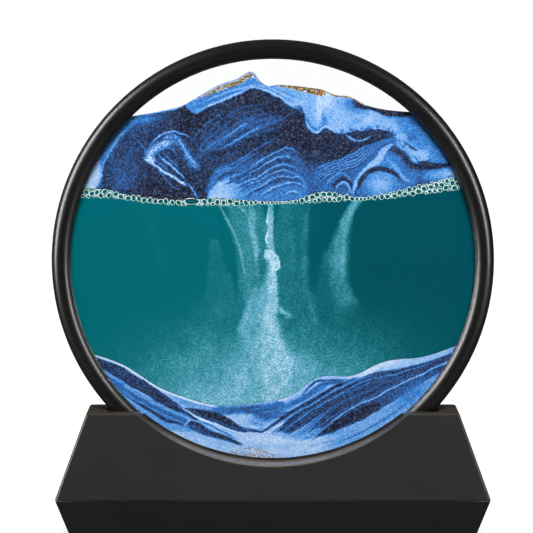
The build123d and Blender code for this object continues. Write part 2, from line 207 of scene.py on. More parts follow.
COVER_LOW = [(-90, 64), (-35.8, 63.6), (-32.4, 60), (-26, 62.6), (-14, 67.6), (-8, 70.1), (-2.2, 68.8)]
COVER_LOW += [(7.2, 63.2), (13, 59.4), (13.8, 56), (17.6, 52), (21, 54.2)]
COVER_LOW += [(25, 52.4), (35, 52.8), (44, 53.4), (48, 52.6), (50.2, 50), (53.6, 46.8), (57, 42.2)]
COVER_LOW += [(62, 40.8), (90, 40.4)]
ARCH_TOP = [(-28, 30), (-23, 37.5), (-17.3, 40), (-11.8, 42.6), (-3.4, 43.4), (5.7, 46.4), (8.2, 46)]
ARCH_TOP += [(11, 43), (14, 38), (17, 30)]
ARCHES = [
    [(-9, 38.7), (-3.4, 41.9), (1.5, 44.4), (5.7, 46.1), (8.2, 45.7), (10.6, 43.3)],
    [(-9.7, 35.9), (-5.5, 38), (-1.6, 40.1), (2.2, 42.2), (6.1, 42.6), (8.9, 41.2)],
    [(-16, 30.3), (-11.8, 32), (-6.9, 33.8), (-2.3, 36.6), (1.2, 38.7), (5, 39.4), (8.2, 38.4), (10.4, 35.9)],
    [(-13.8, 29.2), (-9.7, 31.2), (-4.8, 33.3), (0.1, 35.8), (4.3, 37.2), (7.5, 35.9), (10.4, 34.9)],
    [(-10.4, 27.1), (-6.2, 29.9), (-0.6, 33.1), (4, 34.9), (7.5, 33.9), (10.6, 34.1), (12, 33), (14, 29.4)],
    [(-4.8, 26.8), (0.1, 29.9), (4, 31.2), (8.2, 32), (11.3, 31.3), (13.4, 28)],
    [(4.6, 26.6), (8.3, 28.6), (11.6, 27)],
]
ARCH_GAPS = [
    [(-10, 37.2), (-4, 40), (2, 43.4), (6, 44.4), (9.6, 42.6)],
    [(-12, 33.4), (-5, 36.4), (1.4, 40.2), (5.6, 41), (9.6, 38.4)],
    [(-10.5, 26), (-6.8, 28.6), (0.1, 32), (4.3, 33.5), (8, 32.8), (11.6, 32.4)],
    [(-14.6, 29.8), (-8, 31.6), (-2, 35), (4.6, 38.2), (8.4, 37)],
]
SLOPES = [
    [(-24, 36.4), (-17.3, 39.4), (-11.8, 42.2), (-7.6, 45), (-1.3, 48.6), (2.2, 50.7)],
    [(-22.6, 35), (-16, 38.4), (-10.4, 41.9), (-6, 44.2)],
    [(-19.8, 34.1), (-13.8, 35.2), (-9.8, 37.4), (-4, 40.6)],
    [(-18.4, 31.8), (-13, 33.4), (-8, 35.2)],
    [(-23.6, 33.6), (-19, 36.2), (-14, 37.4)],
]
BAND_TOP = [(17.5, 38.5), (22, 40.5), (27.4, 42), (32, 44.5), (37, 47), (43, 48.8), (50, 50.8)]
BAND_LOW = [(17, 29), (23, 34.6), (28.5, 36.6), (34, 38), (39, 42.2), (45, 47), (50, 49.8)]
STREAK_TOP = [(-32, 48), (-25.5, 55), (-16, 62), (-4, 65)]
STREAK_LOW = [(-24, 40), (-15, 45.5), (-6, 50.5), (6, 55)]
PALE_PATCH = [(-29, 24), (-26, 28.4), (-22.6, 32.2), (-18, 33.6), (-13, 31), (-9, 27)]
CREST_WEDGE = [(28, 68), (33, 63.4), (36, 61.9), (40, 61.4), (45, 59.2), (51, 58.7), (57, 59.4), (90, 57)]
STREAKS, BAND_STRIPES, FAN_LINES = 13, 11, 19
FAN_TONES = (0.10, 0.40, 0.12, 0.64, 0.20, 0.42)


def paint_upper(u, v):
    """The sand held up by the bubbles: a pale cover over a dark dome, with folds on both sides."""
    c = Canvas(u, v, 11, 0.15)
    # large soft differences in the dark grains
    c.glow(-60, 40, 9, 12, 0.30)
    c.glow(-60, 32, 6, 4, 0.42)
    c.glow(-52, 55, 12, 4, 0.30, turn=20)
    c.glow(-44, 29, 12, 5, 0.05)
    c.glow(-33, 58, 6, 8, 0.04)
    c.glow(-22, 44, 9, 9, 0.27, turn=30)
    c.glow(-8, 64, 9, 4, 0.05)
    c.glow(12, 53, 13, 6, 0.04, turn=-20)
    c.glow(8, 62, 10, 3, 0.12, turn=-30)
    c.glow(30, 44, 14, 4, 0.06, turn=15)
    c.glow(18, 33, 4, 8, 0.40)
    # the left end: bright grains along the ring and a pale patch above the bubbles
    rim = CELL_R - np.hypot(c.u, c.v)
    c.lay((1 - smooth(rim, 2.4, 4.6)) * smooth(-c.u, 48, 56), 0.60)
    c.glow(-52, 57.5, 5, 1.6, 0.58, 0.9, turn=10)
    c.stroke([(-59.5, 54), (-65, 46.5), (-69, 38.5), (-70.4, 30)], 0.5, 0.76, strength=0.8)
    c.lay((1 - smooth(rim, 4, 6.5)) * smooth(-c.u, 69.4, 70.4) * (1 - smooth(c.v, 36, 46)), 0.85)
    # the hook: nested pale arcs with straight limbs that run down to the right
    c.glow(-42, 41, 7, 5, 0.24)
    c.stroke(arc(-40.6, 44.4, 9.6, 8.2, 165, 38), 0.45, 0.84)
    c.stroke([(-49.8, 41), (-48.6, 44.4), (-44.4, 47.6), (-40.3, 48.6), (-37.2, 47.4),
              (-35.3, 44.4), (-34, 41.6),
              (-31, 38.3), (-29.3, 39.2)], 1.8, 0.60, soft=2.4, taper=0.1, strength=0.85, loose=0.35)
    c.stroke([(-51.6, 42.4), (-49.8, 44.2), (-46.4, 46.8), (-42, 48.8)],
             1.8, 0.74, soft=2.2, taper=0.1, loose=0.3)
    c.stroke([(-44.6, 50.2), (-40.6, 50.8), (-37, 49.2)], 0.8, 0.60, soft=1.4, loose=0.3)
    c.stroke([(-50.6, 42.8), (-49.6, 41.6), (-47.8, 40.6)], 1.8, 0.80, soft=1.4, loose=0.2)
    c.stroke([(-38.4, 49.4), (-36, 46.4), (-34.6, 43.6)], 0.6, 0.78)
    for k in range(4):
        c.stroke([(-35.6 + k, 44.6 - k), (-33.4 + 0.8 * k, 41.6 - k)], 0.4, 0.76)
    c.stroke([(-45.9, 44.9), (-43.4, 46), (-40.6, 45.6), (-39.2, 44)], 0.5, 0.62)
    c.stroke([(-52.6, 41.8), (-50.4, 40.8), (-47.5, 38.4), (-41.3, 34.6), (-38, 32.5), (-34.8, 30.6)],
             1.0, 0.88,
             taper=0.1, loose=0.25)
    c.stroke([(-34.9, 31.9), (-33, 29.8), (-31.6, 27.7), (-30.6, 25.5)], 0.5, 0.80)
    c.stroke([(-46.6, 43.4), (-45.9, 42.6), (-41.1, 38.8), (-35.1, 32.9)], 0.6, 0.84)
    for line in ([(-44.6, 43.6), (-40.6, 40.4), (-37.6, 37.6)],
                 [(-47.2, 40.8), (-44.4, 38.6), (-41.6, 36.6)]):
        c.stroke(line, 0.35, 0.62)
    c.stroke([(-47, 37), (-45, 35.2), (-41.9, 31.5), (-38.2, 29.2), (-36.9, 29.5)], 0.4, 0.56)
    c.stroke([(-51.3, 44.4), (-56, 50)], 0.4, 0.55)
    c.stroke([(-33.8, 48), (-27, 55.6), (-19.4, 61)], 0.3, 0.55)
    # lighter streaks across the dark dome
    c.stroke([(-32, 43), (-25, 47), (-17, 51), (-9, 55), (0, 58)], 5.0, 0.33, soft=3.0)
    c.stroke([(-14, 52.4), (-5, 55.8), (6, 58.4)], 1.6, 0.40, soft=2.2, strength=0.8)
    c.stroke([(-27, 45.4), (-22.2, 48.9), (-17.3, 51.7), (-12.5, 54.9), (-7, 58.6)], 0.5, 0.78)
    c.stroke([(-22, 45.4), (-14.9, 48.9), (-11.4, 51.4), (-6.9, 53.5), (-1.3, 54.6)], 0.45, 0.74)
    c.stroke([(-25, 44.6), (-18, 48.2), (-13, 51.4), (-8, 54.4)], 0.9, 0.16, strength=0.7)
    for k in range(STREAKS):
        line = blend(STREAK_LOW, STREAK_TOP, k / (STREAKS - 1))
        c.stroke(line, 0.35, 0.50 if k % 2 else 0.30, strength=0.7, soft=0.6)
    c.stroke([(-28, 42.4), (-20, 44), (-12, 47.4), (-4, 51.4)], 1.6, 0.13, soft=1.2)
    # fine arches in the middle, and slopes that run up to the right beside them
    inner = smooth(graph(ARCH_TOP)(c.u) - c.v, -1.5, 2.5) * smooth(c.u, -28, -25) * smooth(-c.u, -17, -12)
    c.lay(inner * 0.9, 0.42)
    c.lay(inner * smooth(-c.v, -39, -29) * 0.8, 0.56)
    for line in ARCH_GAPS:
        c.stroke(line, 0.8, 0.20, strength=0.75, soft=0.6)
    for k, line in enumerate(ARCHES):
        c.stroke(line, 0.35, 0.82, strength=0.9)
        c.stroke(shifted(line, 0.75), 0.3, 0.28, strength=0.7)
    for line in SLOPES:
        c.stroke(line, 0.3, 0.66, strength=0.85)
        c.stroke([(a + 0.4, b - 1.0) for a, b in line], 0.5, 0.20, strength=0.6)
    patch = smooth(graph(PALE_PATCH)(c.u) - c.v, -0.4, 1.4)
    c.lay(patch * smooth(c.u, -27.6, -25.6) * smooth(-c.u, 9, 20), 0.80)
    for k in range(4):
        step = 1.5 * k
        c.stroke([(-24 + step, 35.5 - step), (-17 + step, 38.4 - step)], 0.35, 0.24 if k % 2 else 0.72)
    # the right side: a dark band over stripes that fold at a peak
    band_top = graph([*BAND_TOP, (53, 49), (57, 45.5), (60, 40)])
    c.lay(smooth(band_top(c.u) - c.v, -0.6, 1.6) * smooth(c.u, 12, 20) * smooth(-c.u, -60, -57), 0.43)
    for k in range(BAND_STRIPES):
        line = blend(BAND_TOP, BAND_LOW, (k + 0.5) / BAND_STRIPES)
        c.stroke(line, 0.38, 0.74 if k % 2 else 0.22, strength=0.85)
    c.stroke([(50, 49.5), (54, 45), (57, 41), (59, 39)], 3.2, 0.66, soft=1.0)
    for k in range(4):
        line = [(50 + k, 50.3 - k), (54.5 + k * 0.6, 46 - k), (58 + k * 0.5, 42 - k)]
        c.stroke(line, 0.4, 0.86 if k % 2 else 0.22)
    c.glow(46, 38, 7, 6, 0.62, 0.8, turn=30)
    for k in range(5):
        line = [(45 + 1.3 * k, 43.5 - k), (50 + k, 37.5 - k), (54.5 + 0.5 * k, 31.5)]
        c.stroke(line, 0.35, 0.78, strength=0.6)
    c.glow(66, 35, 9, 3.6, 0.62, 1.1)
    c.glow(72, 36, 4, 2.2, 0.84, 0.9)
    c.stroke([(45, 44.4), (47.4, 45.9), (50.4, 45.2), (53.8, 42.2), (56, 39.3), (60, 38.6), (74, 39.8)],
             1.9, 0.10,
             soft=0.8, taper=0.1)
    c.stroke([(32.6, 26.6), (34, 31.4), (37.2, 36.2), (43, 41.6), (46, 45.6), (49.6, 48.6)], 2.6, 0.78)
    c.glow(43.6, 31.4, 6.6, 4.6, 0.76, 1.0)
    c.stroke(arc(44, 24, 10.8, 13.6, 168, 34), 1.7, 0.14)
    c.stroke(arc(28.6, 28.8, 3.6, 4.8, 180, 0), 1.2, 0.16)
    c.stroke([(25.2, 28.5), (27.2, 31.6), (29.4, 32.2), (31.2, 29.6), (33, 26.4)], 0.4, 0.84)
    c.stroke([(21, 29.5), (24, 34), (28, 36), (31.5, 33), (33.5, 30)], 0.4, 0.66)
    # the pale cover, its drip and the bright patch at the right
    cover = smooth(c.v - graph(COVER_LOW)(c.u), -0.3, 0.3)
    c.lay(cover, 0.57)
    c.lay(cover * smooth(c.u, -26, -14) * 0.7, 0.66)
    c.lay(cover * smooth(c.u, -6, 2), 0.72)
    c.lay(cover * smooth(c.u, 14, 22) * 0.8, 0.80)
    mottle = noise(c.u, c.v, 2.6, 23) * noise(c.u, c.v, 5.5, 24)
    c.lay(cover * smooth(c.u, 20, 30) * smooth(mottle, 0.22, 0.5), 0.62)
    c.lay(cover * smooth(c.u, 36, 44) * 0.6, 0.72)
    ragged = 1 - smooth(c.v - graph(COVER_LOW)(c.u), 0.2, 2.4)
    c.lay(cover * ragged * smooth(c.u, 24, 30) * smooth(noise(c.u, c.v, 0.8, 25), 0.45, 0.7), 0.40)
    c.stroke(shifted(COVER_LOW[2:9], -0.4), 0.7, 0.82)
    for k in range(3):
        left = [(-32 + k, 62 + k), (-24, 65.6 + k), (-14, 69 + k), (-7, 70.6 + k)]
        right = [(-7, 70.8 + k), (-1, 69.6 + 0.6 * k), (6, 66.2 + k), (12, 63.4 + k)]
        c.stroke(left, 0.4, 0.80 if k % 2 else 0.44, strength=0.7)
        c.stroke(right, 0.4, 0.86 if k % 2 else 0.55, strength=0.7)
    c.stroke([(13.4, 59), (14.8, 55), (17.6, 53.2), (21, 56.2), (20, 60), (17, 61.5)], 2.0, 0.57, soft=0.8)
    c.stroke([(18.3, 67), (18.8, 61), (18.3, 56.5)], 1.8, 0.90, soft=1.0)
    c.stroke(shifted(COVER_LOW[8:13], -0.4), 0.4, 0.90)
    c.glow(22, 67, 3, 5, 0.93, 0.8)
    c.glow(10, 64, 4, 2, 0.84, 0.7)
    c.glow(34, 63.5, 4.5, 2.4, 0.56)
    c.glow(31, 60, 9, 3, 0.72, 0.6)
    c.glow(38, 57.6, 7, 1.6, 0.84, 0.6)
    c.glow(52, 55.6, 5, 3.0, 0.82, 0.7)
    c.stroke([(32, 52.6), (36.5, 52.0), (42, 52.6)], 2.0, 0.16)
    c.stroke([(29.4, 51.6), (33.6, 49.1), (36.4, 49.2), (39.6, 50.9)], 0.6, 0.74)
    c.lay(cover * smooth(c.u + 0.9 * c.v, 98, 103), 0.57)
    c.glow(60.5, 43.6, 3.4, 1.9, 0.84, 0.9)
    c.stroke([(53, 49), (56, 46.9), (58.8, 45)], 0.6, 0.26)
    c.glow(56.4, 50.2, 1.6, 1.4, 0.40, 0.8)
    c.glow(33, 62.6, 4.4, 2.0, 0.52, 0.9, turn=-25)
    c.lay(smooth(c.v - graph(CREST_WEDGE)(c.u), -0.4, 0.4) * smooth(c.u, 31, 35), 0.06)
    # a thin dark crest with pale wash along the left shoulder
    crest = graph(RIDGE)(c.u) - c.v
    c.lay((1 - smooth(crest, 0.2, 0.7)) * (c.u < -36), 0.70)
    return c


def paint_lower(u, v):
    """The dunes: bands that sweep down from both sides into a pale hollow."""
    c = Canvas(u, v, 41, 0.80, wobble=0.2)
    c.glow(0, -74, 24, 7, 0.86)
    c.stroke([(-30, -72.6), (-22, -74.8), (-12, -76.2), (0, -76.4), (12, -75.6)],
             1.2, 0.76, soft=1.6, strength=0.6)
    # left: a dark band, blue layers under it and a dark lens that reaches the hollow
    top = [(-76, -38.4), (-69, -40.7), (-61.7, -43.6), (-54.3, -48.2), (-46.4, -53.4), (-41.8, -56.6)]
    top += [(-35.6, -61), (-29, -65.6)]
    low = [(-76, -42), (-65.1, -47.7), (-59.2, -51.1), (-51.8, -55.1), (-44.5, -60.5), (-39.5, -62.7)]
    low += [(-29, -66)]
    c.between(top, low, 0.20, taper=3)
    c.stroke([(-52, -52), (-45, -57), (-38, -61.4)], 1.6, 0.07, soft=1.2)
    for drop in (1.2, 2.4, 3.6):
        c.stroke(shifted(top[1:-1], drop), 0.3, 0.34, strength=0.7)
    blue_top = [(-74, -43), (-62.6, -50.1), (-51.8, -57.2), (-42, -62), (-34.6, -65), (-30, -67)]
    blue_low = [(-74, -45), (-59.2, -56.1), (-51.8, -61.5), (-43.4, -66), (-35.6, -67.4), (-30, -68)]
    c.between(shifted(blue_top, -1.5), blue_top, 0.66, taper=8)
    c.between(blue_top, blue_low, 0.48, taper=6)
    c.between(shifted(blue_low, 0.2), shifted(blue_low, 3), 0.66, taper=8)
    for drop, tone in ((1.2, 0.34), (2.4, 0.66), (3.5, 0.30), (4.8, 0.70)):
        c.stroke(shifted(blue_top[1:], drop), 0.35, tone, strength=0.8)
    c.stroke([(-56.8, -57.6), (-50.3, -61.5), (-43.4, -65.5), (-36.6, -67)], 0.9, 0.20, soft=0.6)
    patch_top = [(-35.4, -66.6), (-33.6, -66), (-24.8, -70.4), (-17.4, -72.9), (-12.6, -75)]
    patch_low = [(-35.4, -68.3), (-29.7, -70.9), (-22.3, -73.4), (-12.6, -75.4)]
    c.between(patch_top, patch_low, 0.30, soft=0.5, taper=1.5)
    c.stroke(shifted(patch_top, 0.6), 1.2, 0.14, soft=0.7)
    c.stroke([(-36, -67.6), (-33.8, -65.4)], 0.35, 0.92)
    for k in range(5):
        line = [(-32 + k, -64.9 - 0.3 * k), (-25 + k, -68.2 - 0.5 * k), (-18 + k, -71.4 - 0.5 * k)]
        c.stroke(line, 0.3, 0.50, strength=0.75)
    c.stroke([(-61, -58), (-50, -66.5), (-38, -73.5)], 1.4, 0.60, soft=1.2)
    lens_top = [(-38.6, -60.2), (-29.7, -61), (-22.3, -62.5), (-17.4, -65), (-12.5, -68.5), (-9, -69.8)]
    lens_low = [(-38.6, -60.8), (-34.6, -62), (-27.2, -65), (-19.9, -68), (-12.5, -70.4), (-9, -70.6)]
    c.between(lens_top, lens_low, 0.12, soft=0.4, taper=3)
    c.stroke(shifted(lens_low, -0.9), 0.3, 0.50, strength=0.7)
    c.stroke([(-39.5, -58.9), (-31.7, -63.7), (-22.3, -67.6), (-12, -71.1)], 0.55, 0.94)
    # the hollow in the middle
    mound = [(-26, -59.4), (-19, -59.9), (-10, -59.6), (-2, -58.6), (6, -56.6)]
    c.between(mound, shifted(mound, 3.0), 0.46, soft=0.8, taper=5)
    for drop, start in ((0.5, -20), (1.5, -14), (2.4, -10), (3.2, -8), (4.1, -7)):
        line = [(start, -60 - drop), (start + 8, -60.4 - drop), (start + 15, -59.2 - drop * 0.9)]
        c.stroke(line, 0.6, 0.28, strength=0.8, soft=0.5)
    c.glow(-4, -64.4, 4, 1.6, 0.44, 0.8, turn=-20)
    c.glow(-7, -66.6, 3, 1.0, 0.52, 0.8, turn=-10)
    c.glow(1, -61.6, 4.4, 2.2, 0.42, 0.8, turn=25)
    c.stroke([(-17, -66), (-12, -68.6), (-7, -69.2), (-3, -68.8)], 0.3, 0.44)
    # right: dark bands with fine lines that fan out from the hollow
    first = [(-1.2, -70.6), (6, -64.8), (13.8, -59.7), (20.5, -56), (30, -50.4), (40, -46.4), (52, -44.2)]
    first += [(64, -40.9), (80, -35.5)]
    second = [(1, -72.6), (9.8, -69.4), (17.9, -64.6), (27, -59), (36, -54.6), (44, -51.6), (54, -48.2)]
    second += [(66, -43.4), (80, -37.4)]
    third = [(15, -73.8), (19, -70.6), (24.7, -65.8), (34.5, -59.2), (40.9, -56.6), (48.3, -52.6)]
    third += [(58.2, -47.7), (69.5, -42.2), (80, -37.8)]
    fourth = [(15, -74.2), (24.7, -69.8), (33.6, -66.6), (42.4, -62), (48.3, -58.3), (60.6, -50.6)]
    fourth += [(72, -43.6)]
    shoulder = [(-2, -68.6), (6, -62.4), (14, -57.4), (24, -52), (34, -48.6), (46, -45.6)]
    c.between(shoulder, first[:7], 0.40, taper=7)
    c.between(first, second, 0.24, soft=0.5, taper=6)
    c.between(second, third, 0.20, soft=0.5, taper=9)
    c.between(third, fourth, 0.30, soft=0.4, taper=5)
    c.stroke([(19, -71.6), (27, -67), (36, -62.8), (44, -58.6)], 3.2, 0.07, soft=1.4)
    c.stroke([(-10.8, -69.4), (-7.1, -70), (-4.4, -70.2), (-1.7, -68.6), (5.7, -63.4), (17.2, -56.6),
              (25.5, -51.6), (35.5, -47.6)], 0.7, 0.10, taper=0.1)
    c.stroke([(-3, -70.9), (3, -66.4), (8, -63.2), (14, -60), (22, -55.2), (30, -50.9), (42, -46.6)],
             0.4, 0.74, strength=0.85)
    fan_top = [(-1.4, -71.2), (6, -66.4), (14, -61), (23, -55.6), (34, -50.8), (46, -47), (58, -43.4)]
    fan_low = [(11.4, -74), (17, -71.6), (23, -67), (31, -61.6), (40, -57), (50, -51.6), (60, -46.6)]
    for k in range(FAN_LINES):
        line = blend(fan_top, fan_low, k / (FAN_LINES - 1))
        c.stroke(line, 0.3, FAN_TONES[k % len(FAN_TONES)], strength=0.8)
    c.stroke([(3, -71), (8, -66.8), (15, -62), (24, -56.6), (36, -50), (52, -45.8), (68, -40.6)], 0.3, 0.66)
    c.stroke(third, 0.5, 0.76)
    c.stroke([(8, -59.2), (14, -55.6), (20, -50.8), (26, -49.9), (32, -49.6)], 0.9, 0.36, soft=0.8)
    c.stroke([(12, -54.8), (18, -49.6), (25, -48.9), (31, -48.8)], 0.5, 0.18)
    c.stroke([(-1, -62), (6, -59.6), (14, -55.2), (22, -51.6)], 1.6, 0.46, soft=1.4)
    c.lay(smooth(graph(fourth)(c.u) - c.v, 0.1, 1.0) * smooth(c.u, 18, 30), 0.70)
    c.glow(57, -54.5, 9, 3.0, 0.56, 1.0, turn=38)
    c.stroke([(24, -76), (38, -69.5), (50, -62), (60, -53.6)], 0.6, 0.50)
    c.stroke([(14, -76.4), (28, -72.6), (40, -66)], 0.5, 0.62, strength=0.7)
    # pale crest on the dunes at both sides of the hollow
    depth = graph(DUNES)(c.u) - c.v
    beside = 1 - (c.u > -24) * (c.u < 2)
    fading = 1 - smooth(c.u, -22, -18) * smooth(c.u, 4, 12)
    c.lay((1 - smooth(depth, 0.3, 0.9)) * fading * beside, 0.98)
    thick = np.exp(-(((c.u - 42) / 12) ** 2)) + 0.4 * np.exp(-(((c.u + 33) / 8) ** 2))
    c.lay(np.clip(thick, 0, 1) * (1 - smooth(depth, 1.2, 3.0)), 0.92)
    for drop in (1.2, 2.0, 2.9):
        line = shifted([(-44, -53), (-36, -56.2), (-22, -59.6), (-8, -58.8)], drop)
        c.stroke(line, 0.35, 0.48, strength=0.7)
    return c


# ================================================================ meshes
def place(u, v, y):
    """Millimetres in the picture, and a depth with the front negative, as points in the frame."""
    return np.column_stack([AXIS.x + u * MM, AXIS.y + y * MM, AXIS.z + v * MM])


def add_object(name, data):
    """An object in the scene for a mesh, a camera or a light."""
    obj = bpy.data.objects.new(name, data)
    bpy.context.scene.collection.objects.link(obj)
    return obj


def make(name, points, faces, attributes=None):
    """A mesh object, with its faces turned outwards and a float attribute per point."""
    mesh = bpy.data.meshes.new(name)
    mesh.from_pydata(points.tolist(), [], faces)
    for label, values in (attributes or {}).items():
        layer = mesh.attributes.new(label, "FLOAT", "POINT")
        layer.data.foreach_set("value", np.asarray(values, float))
    bm = bmesh.new()
    bm.from_mesh(mesh)
    bmesh.ops.recalc_face_normals(bm, faces=bm.faces)
    bm.to_mesh(mesh)
    bm.free()
    return add_object(name, mesh)


LEAST_HEIGHT = 0.1  # a layer ends where it gets thinner than this


def extent(upper, lower, left=-CELL_R, right=CELL_R, step=0.05):
    """The part of a stretch where a layer between two outlines has any height inside the cell."""
    u = np.arange(max(left, -CELL_R) + step, min(right, CELL_R), step)
    chord = np.sqrt(CELL_R**2 - u**2)
    open_at = u[np.minimum(upper(u), chord) - np.maximum(lower(u), -chord) > LEAST_HEIGHT]
    return open_at[0], open_at[-1]


def slab(name, upper, lower, depth, paint, pitch, seed, relief=0.0, span=(-99, 99)):
    """A layer of the cell as a closed mesh, whose front and rear are fine painted grids.

    paint takes u and v and gives the attributes. relief says how far grains stand back from the glass: up
    to that much each, and up to that much more in hollows of several grains.
    """
    left, right = extent(upper, lower, *span)
    columns = int((right - left) / pitch) + 1
    u = np.linspace(left, right, columns)
    chord = np.sqrt(CELL_R**2 - u**2)
    top = np.minimum(upper(u), chord)
    bottom = np.maximum(lower(u), -chord)
    rows = int((top - bottom).max() / pitch) + 2
    t = np.linspace(0, 1, rows)[:, None]
    grid_u = np.broadcast_to(u, (rows, columns)).ravel()
    grid_v = (bottom + t * (top - bottom)).ravel()
    attributes = paint(grid_u, grid_v)
    inside = np.ones((rows, columns), bool)
    inside[[0, -1], :] = False
    inside[:, [0, -1]] = False
    back_off = relief * np.random.default_rng(seed).random(rows * columns) * inside.ravel()
    back_off += relief * noise(grid_u, grid_v, 1.3, seed) * inside.ravel()
    front = place(grid_u, grid_v, back_off - depth)
    rear = place(grid_u, grid_v, depth - back_off)
    index = np.arange(rows * columns).reshape(rows, columns)
    quads = np.stack([index[:-1, :-1], index[:-1, 1:], index[1:, 1:], index[1:, :-1]], -1).reshape(-1, 4)
    border = np.concatenate([index[0, :], index[1:, -1], index[-1, -2::-1], index[-2:0:-1, 0]])
    nxt = np.roll(border, -1)
    shift = rows * columns
    walls = np.stack([border, border + shift, nxt + shift, nxt], -1)
    faces = np.concatenate([quads, quads[:, ::-1] + shift, walls])
    both = {label: np.concatenate([values, values]) for label, values in attributes.items()}
    return make(name, np.concatenate([front, rear]), faces.tolist(), both)


def spin(rng, count):
    """Random rotation matrices."""
    q = rng.normal(size=(count, 4))
    w, x, y, z = (q / np.linalg.norm(q, axis=1)[:, None]).T
    return np.stack(
        [
            np.stack([1 - 2 * (y * y + z * z), 2 * (x * y - z * w), 2 * (x * z + y * w)], -1),
            np.stack([2 * (x * y + z * w), 1 - 2 * (x * x + z * z), 2 * (y * z - x * w)], -1),
            np.stack([2 * (x * z - y * w), 2 * (y * z + x * w), 1 - 2 * (x * x + y * y)], -1),
        ],
        1,
    )


OCTAHEDRON = np.array([(1, 0, 0), (-1, 0, 0), (0, 1, 0), (0, -1, 0), (0, 0, 1), (0, 0, -1)], float)
OCTAHEDRON_FACES = [(0, 2, 4), (2, 1, 4), (1, 3, 4), (3, 0, 4), (2, 0, 5), (1, 2, 5), (3, 1, 5), (0, 3, 5)]


def grains(name, u, v, y, size, rng, attributes=None, flat=1.0):
    """Loose crystals, one at each point, as one mesh. Below 1, flat squashes them into flakes."""
    count = len(u)
    shape = OCTAHEDRON[None] * rng.uniform(0.7, 1.3, (count, 1, 3)) * size[:, None, None]
    shape[:, :, 2] *= flat
    shape = np.einsum("nij,nkj->nki", spin(rng, count), shape)
    centres = np.stack([u, y, v], -1)
    local = (centres[:, None, :] + shape).reshape(-1, 3)
    points = place(local[:, 0], local[:, 2], local[:, 1])
    offsets = 6 * np.arange(count)[:, None, None]
    faces = (np.array(OCTAHEDRON_FACES)[None] + offsets).reshape(-1, 3)
    spread = {label: np.repeat(values, 6) for label, values in (attributes or {}).items()}
    return make(name, points, faces.tolist(), spread)


# ================================================================ materials
class Nodes:
    """A material or world with short calls for adding and linking its nodes."""

    def __init__(self, owner):
        owner.use_nodes = True
        self.tree = owner.node_tree
        self.tree.nodes.clear()

    def add(self, kind, **values):
        node = self.tree.nodes.new(kind)
        for key, value in values.items():
            setattr(node, key, value)
        return node

    def link(self, source, target):
        self.tree.links.new(source, target)

    def math(self, operation, a, b, clamp=False):
        node = self.add("ShaderNodeMath", operation=operation, use_clamp=clamp)
        for socket, value in zip(node.inputs, (a, b)):
            if isinstance(value, (int, float)):
                socket.default_value = value
            else:
                self.link(value, socket)
        return node.outputs[0]

    def swing(self, value, middle, reach):
        """How far a value lies from its middle, times reach."""
        return self.math("MULTIPLY", self.math("SUBTRACT", value, middle), reach)

    def span(self, value, start, end, low=0.0, high=1.0, **settings):
        """Runs from low to high while a value runs from start to end."""
        node = self.add("ShaderNodeMapRange", **settings)
        limits = {"From Min": start, "From Max": end, "To Min": low, "To Max": high}
        for label, limit in limits.items():
            node.inputs[label].default_value = limit
        self.link(value, node.inputs["Value"])
        return node.outputs["Result"]

    def z_part(self, vector):
        """The Z part of a vector."""
        split = self.add("ShaderNodeSeparateXYZ")
        self.link(vector, split.inputs[0])
        return split.outputs["Z"]

    def attribute(self, label):
        return self.add("ShaderNodeAttribute", attribute_name=label).outputs["Fac"]

    def place(self):
        return self.add("ShaderNodeTexCoord").outputs["Object"]

    def cells(self, size, randomness=1.0):
        """A random number for each cell of about this size, in metres, and the distance in it."""
        node = self.add("ShaderNodeTexVoronoi")
        node.inputs["Scale"].default_value = 1 / size
        node.inputs["Randomness"].default_value = randomness
        self.link(self.place(), node.inputs["Vector"])
        split = self.add("ShaderNodeSeparateColor")
        self.link(node.outputs["Color"], split.inputs[0])
        return split.outputs[0], node.outputs["Distance"]

    def noise(self, size, detail=3.0):
        node = self.add("ShaderNodeTexNoise")
        node.inputs["Scale"].default_value = 1 / size
        node.inputs["Detail"].default_value = detail
        self.link(self.place(), node.inputs["Vector"])
        return node.outputs["Fac"]

    def ramp(self, factor, stops):
        node = self.add("ShaderNodeValToRGB")
        elements = node.color_ramp.elements
        while len(elements) < len(stops):
            elements.new(1.0)
        for element, (position, colour) in zip(elements, stops):
            element.position = position
            element.color = (*[linear(c) for c in colour], 1)
        self.link(factor, node.inputs["Fac"])
        return node.outputs["Color"]

    def mix(self, factor, a, b):
        node = self.add("ShaderNodeMix", data_type="RGBA")
        self.link(factor, node.inputs["Factor"])
        for socket, colour in ((node.inputs["A"], a), (node.inputs["B"], b)):
            if isinstance(colour, tuple):
                socket.default_value = (*[linear(c) for c in colour], 1)
            else:
                self.link(colour, socket)
        return node.outputs["Result"]

    def bump(self, height, distance, strength=1.0):
        node = self.add("ShaderNodeBump")
        node.inputs["Distance"].default_value = distance
        node.inputs["Strength"].default_value = strength
        self.link(height, node.inputs["Height"])
        return node.outputs["Normal"]

    def principled(self, colour, normal=None, roughness=None, **constants):
        shader = self.add("ShaderNodeBsdfPrincipled")
        for label, value in constants.items():
            shader.inputs[label.replace("_", " ")].default_value = value
        self.link(colour, shader.inputs["Base Color"])
        if normal is not None:
            self.link(normal, shader.inputs["Normal"])
        if roughness is not None:
            self.link(roughness, shader.inputs["Roughness"])
        return shader.outputs["BSDF"]

    def mix_shaders(self, factor, first, second):
        """The first shader where factor is 0, the second where it is 1."""
        node = self.add("ShaderNodeMixShader")
        self.link(factor, node.inputs["Fac"])
        self.link(first, node.inputs[1])
        self.link(second, node.inputs[2])
        return node.outputs["Shader"]

    def camera_ray(self):
        return self.add("ShaderNodeLightPath").outputs["Is Camera Ray"]

    def output(self, shader, kind="ShaderNodeOutputMaterial"):
        self.link(shader, self.add(kind).inputs["Surface"])


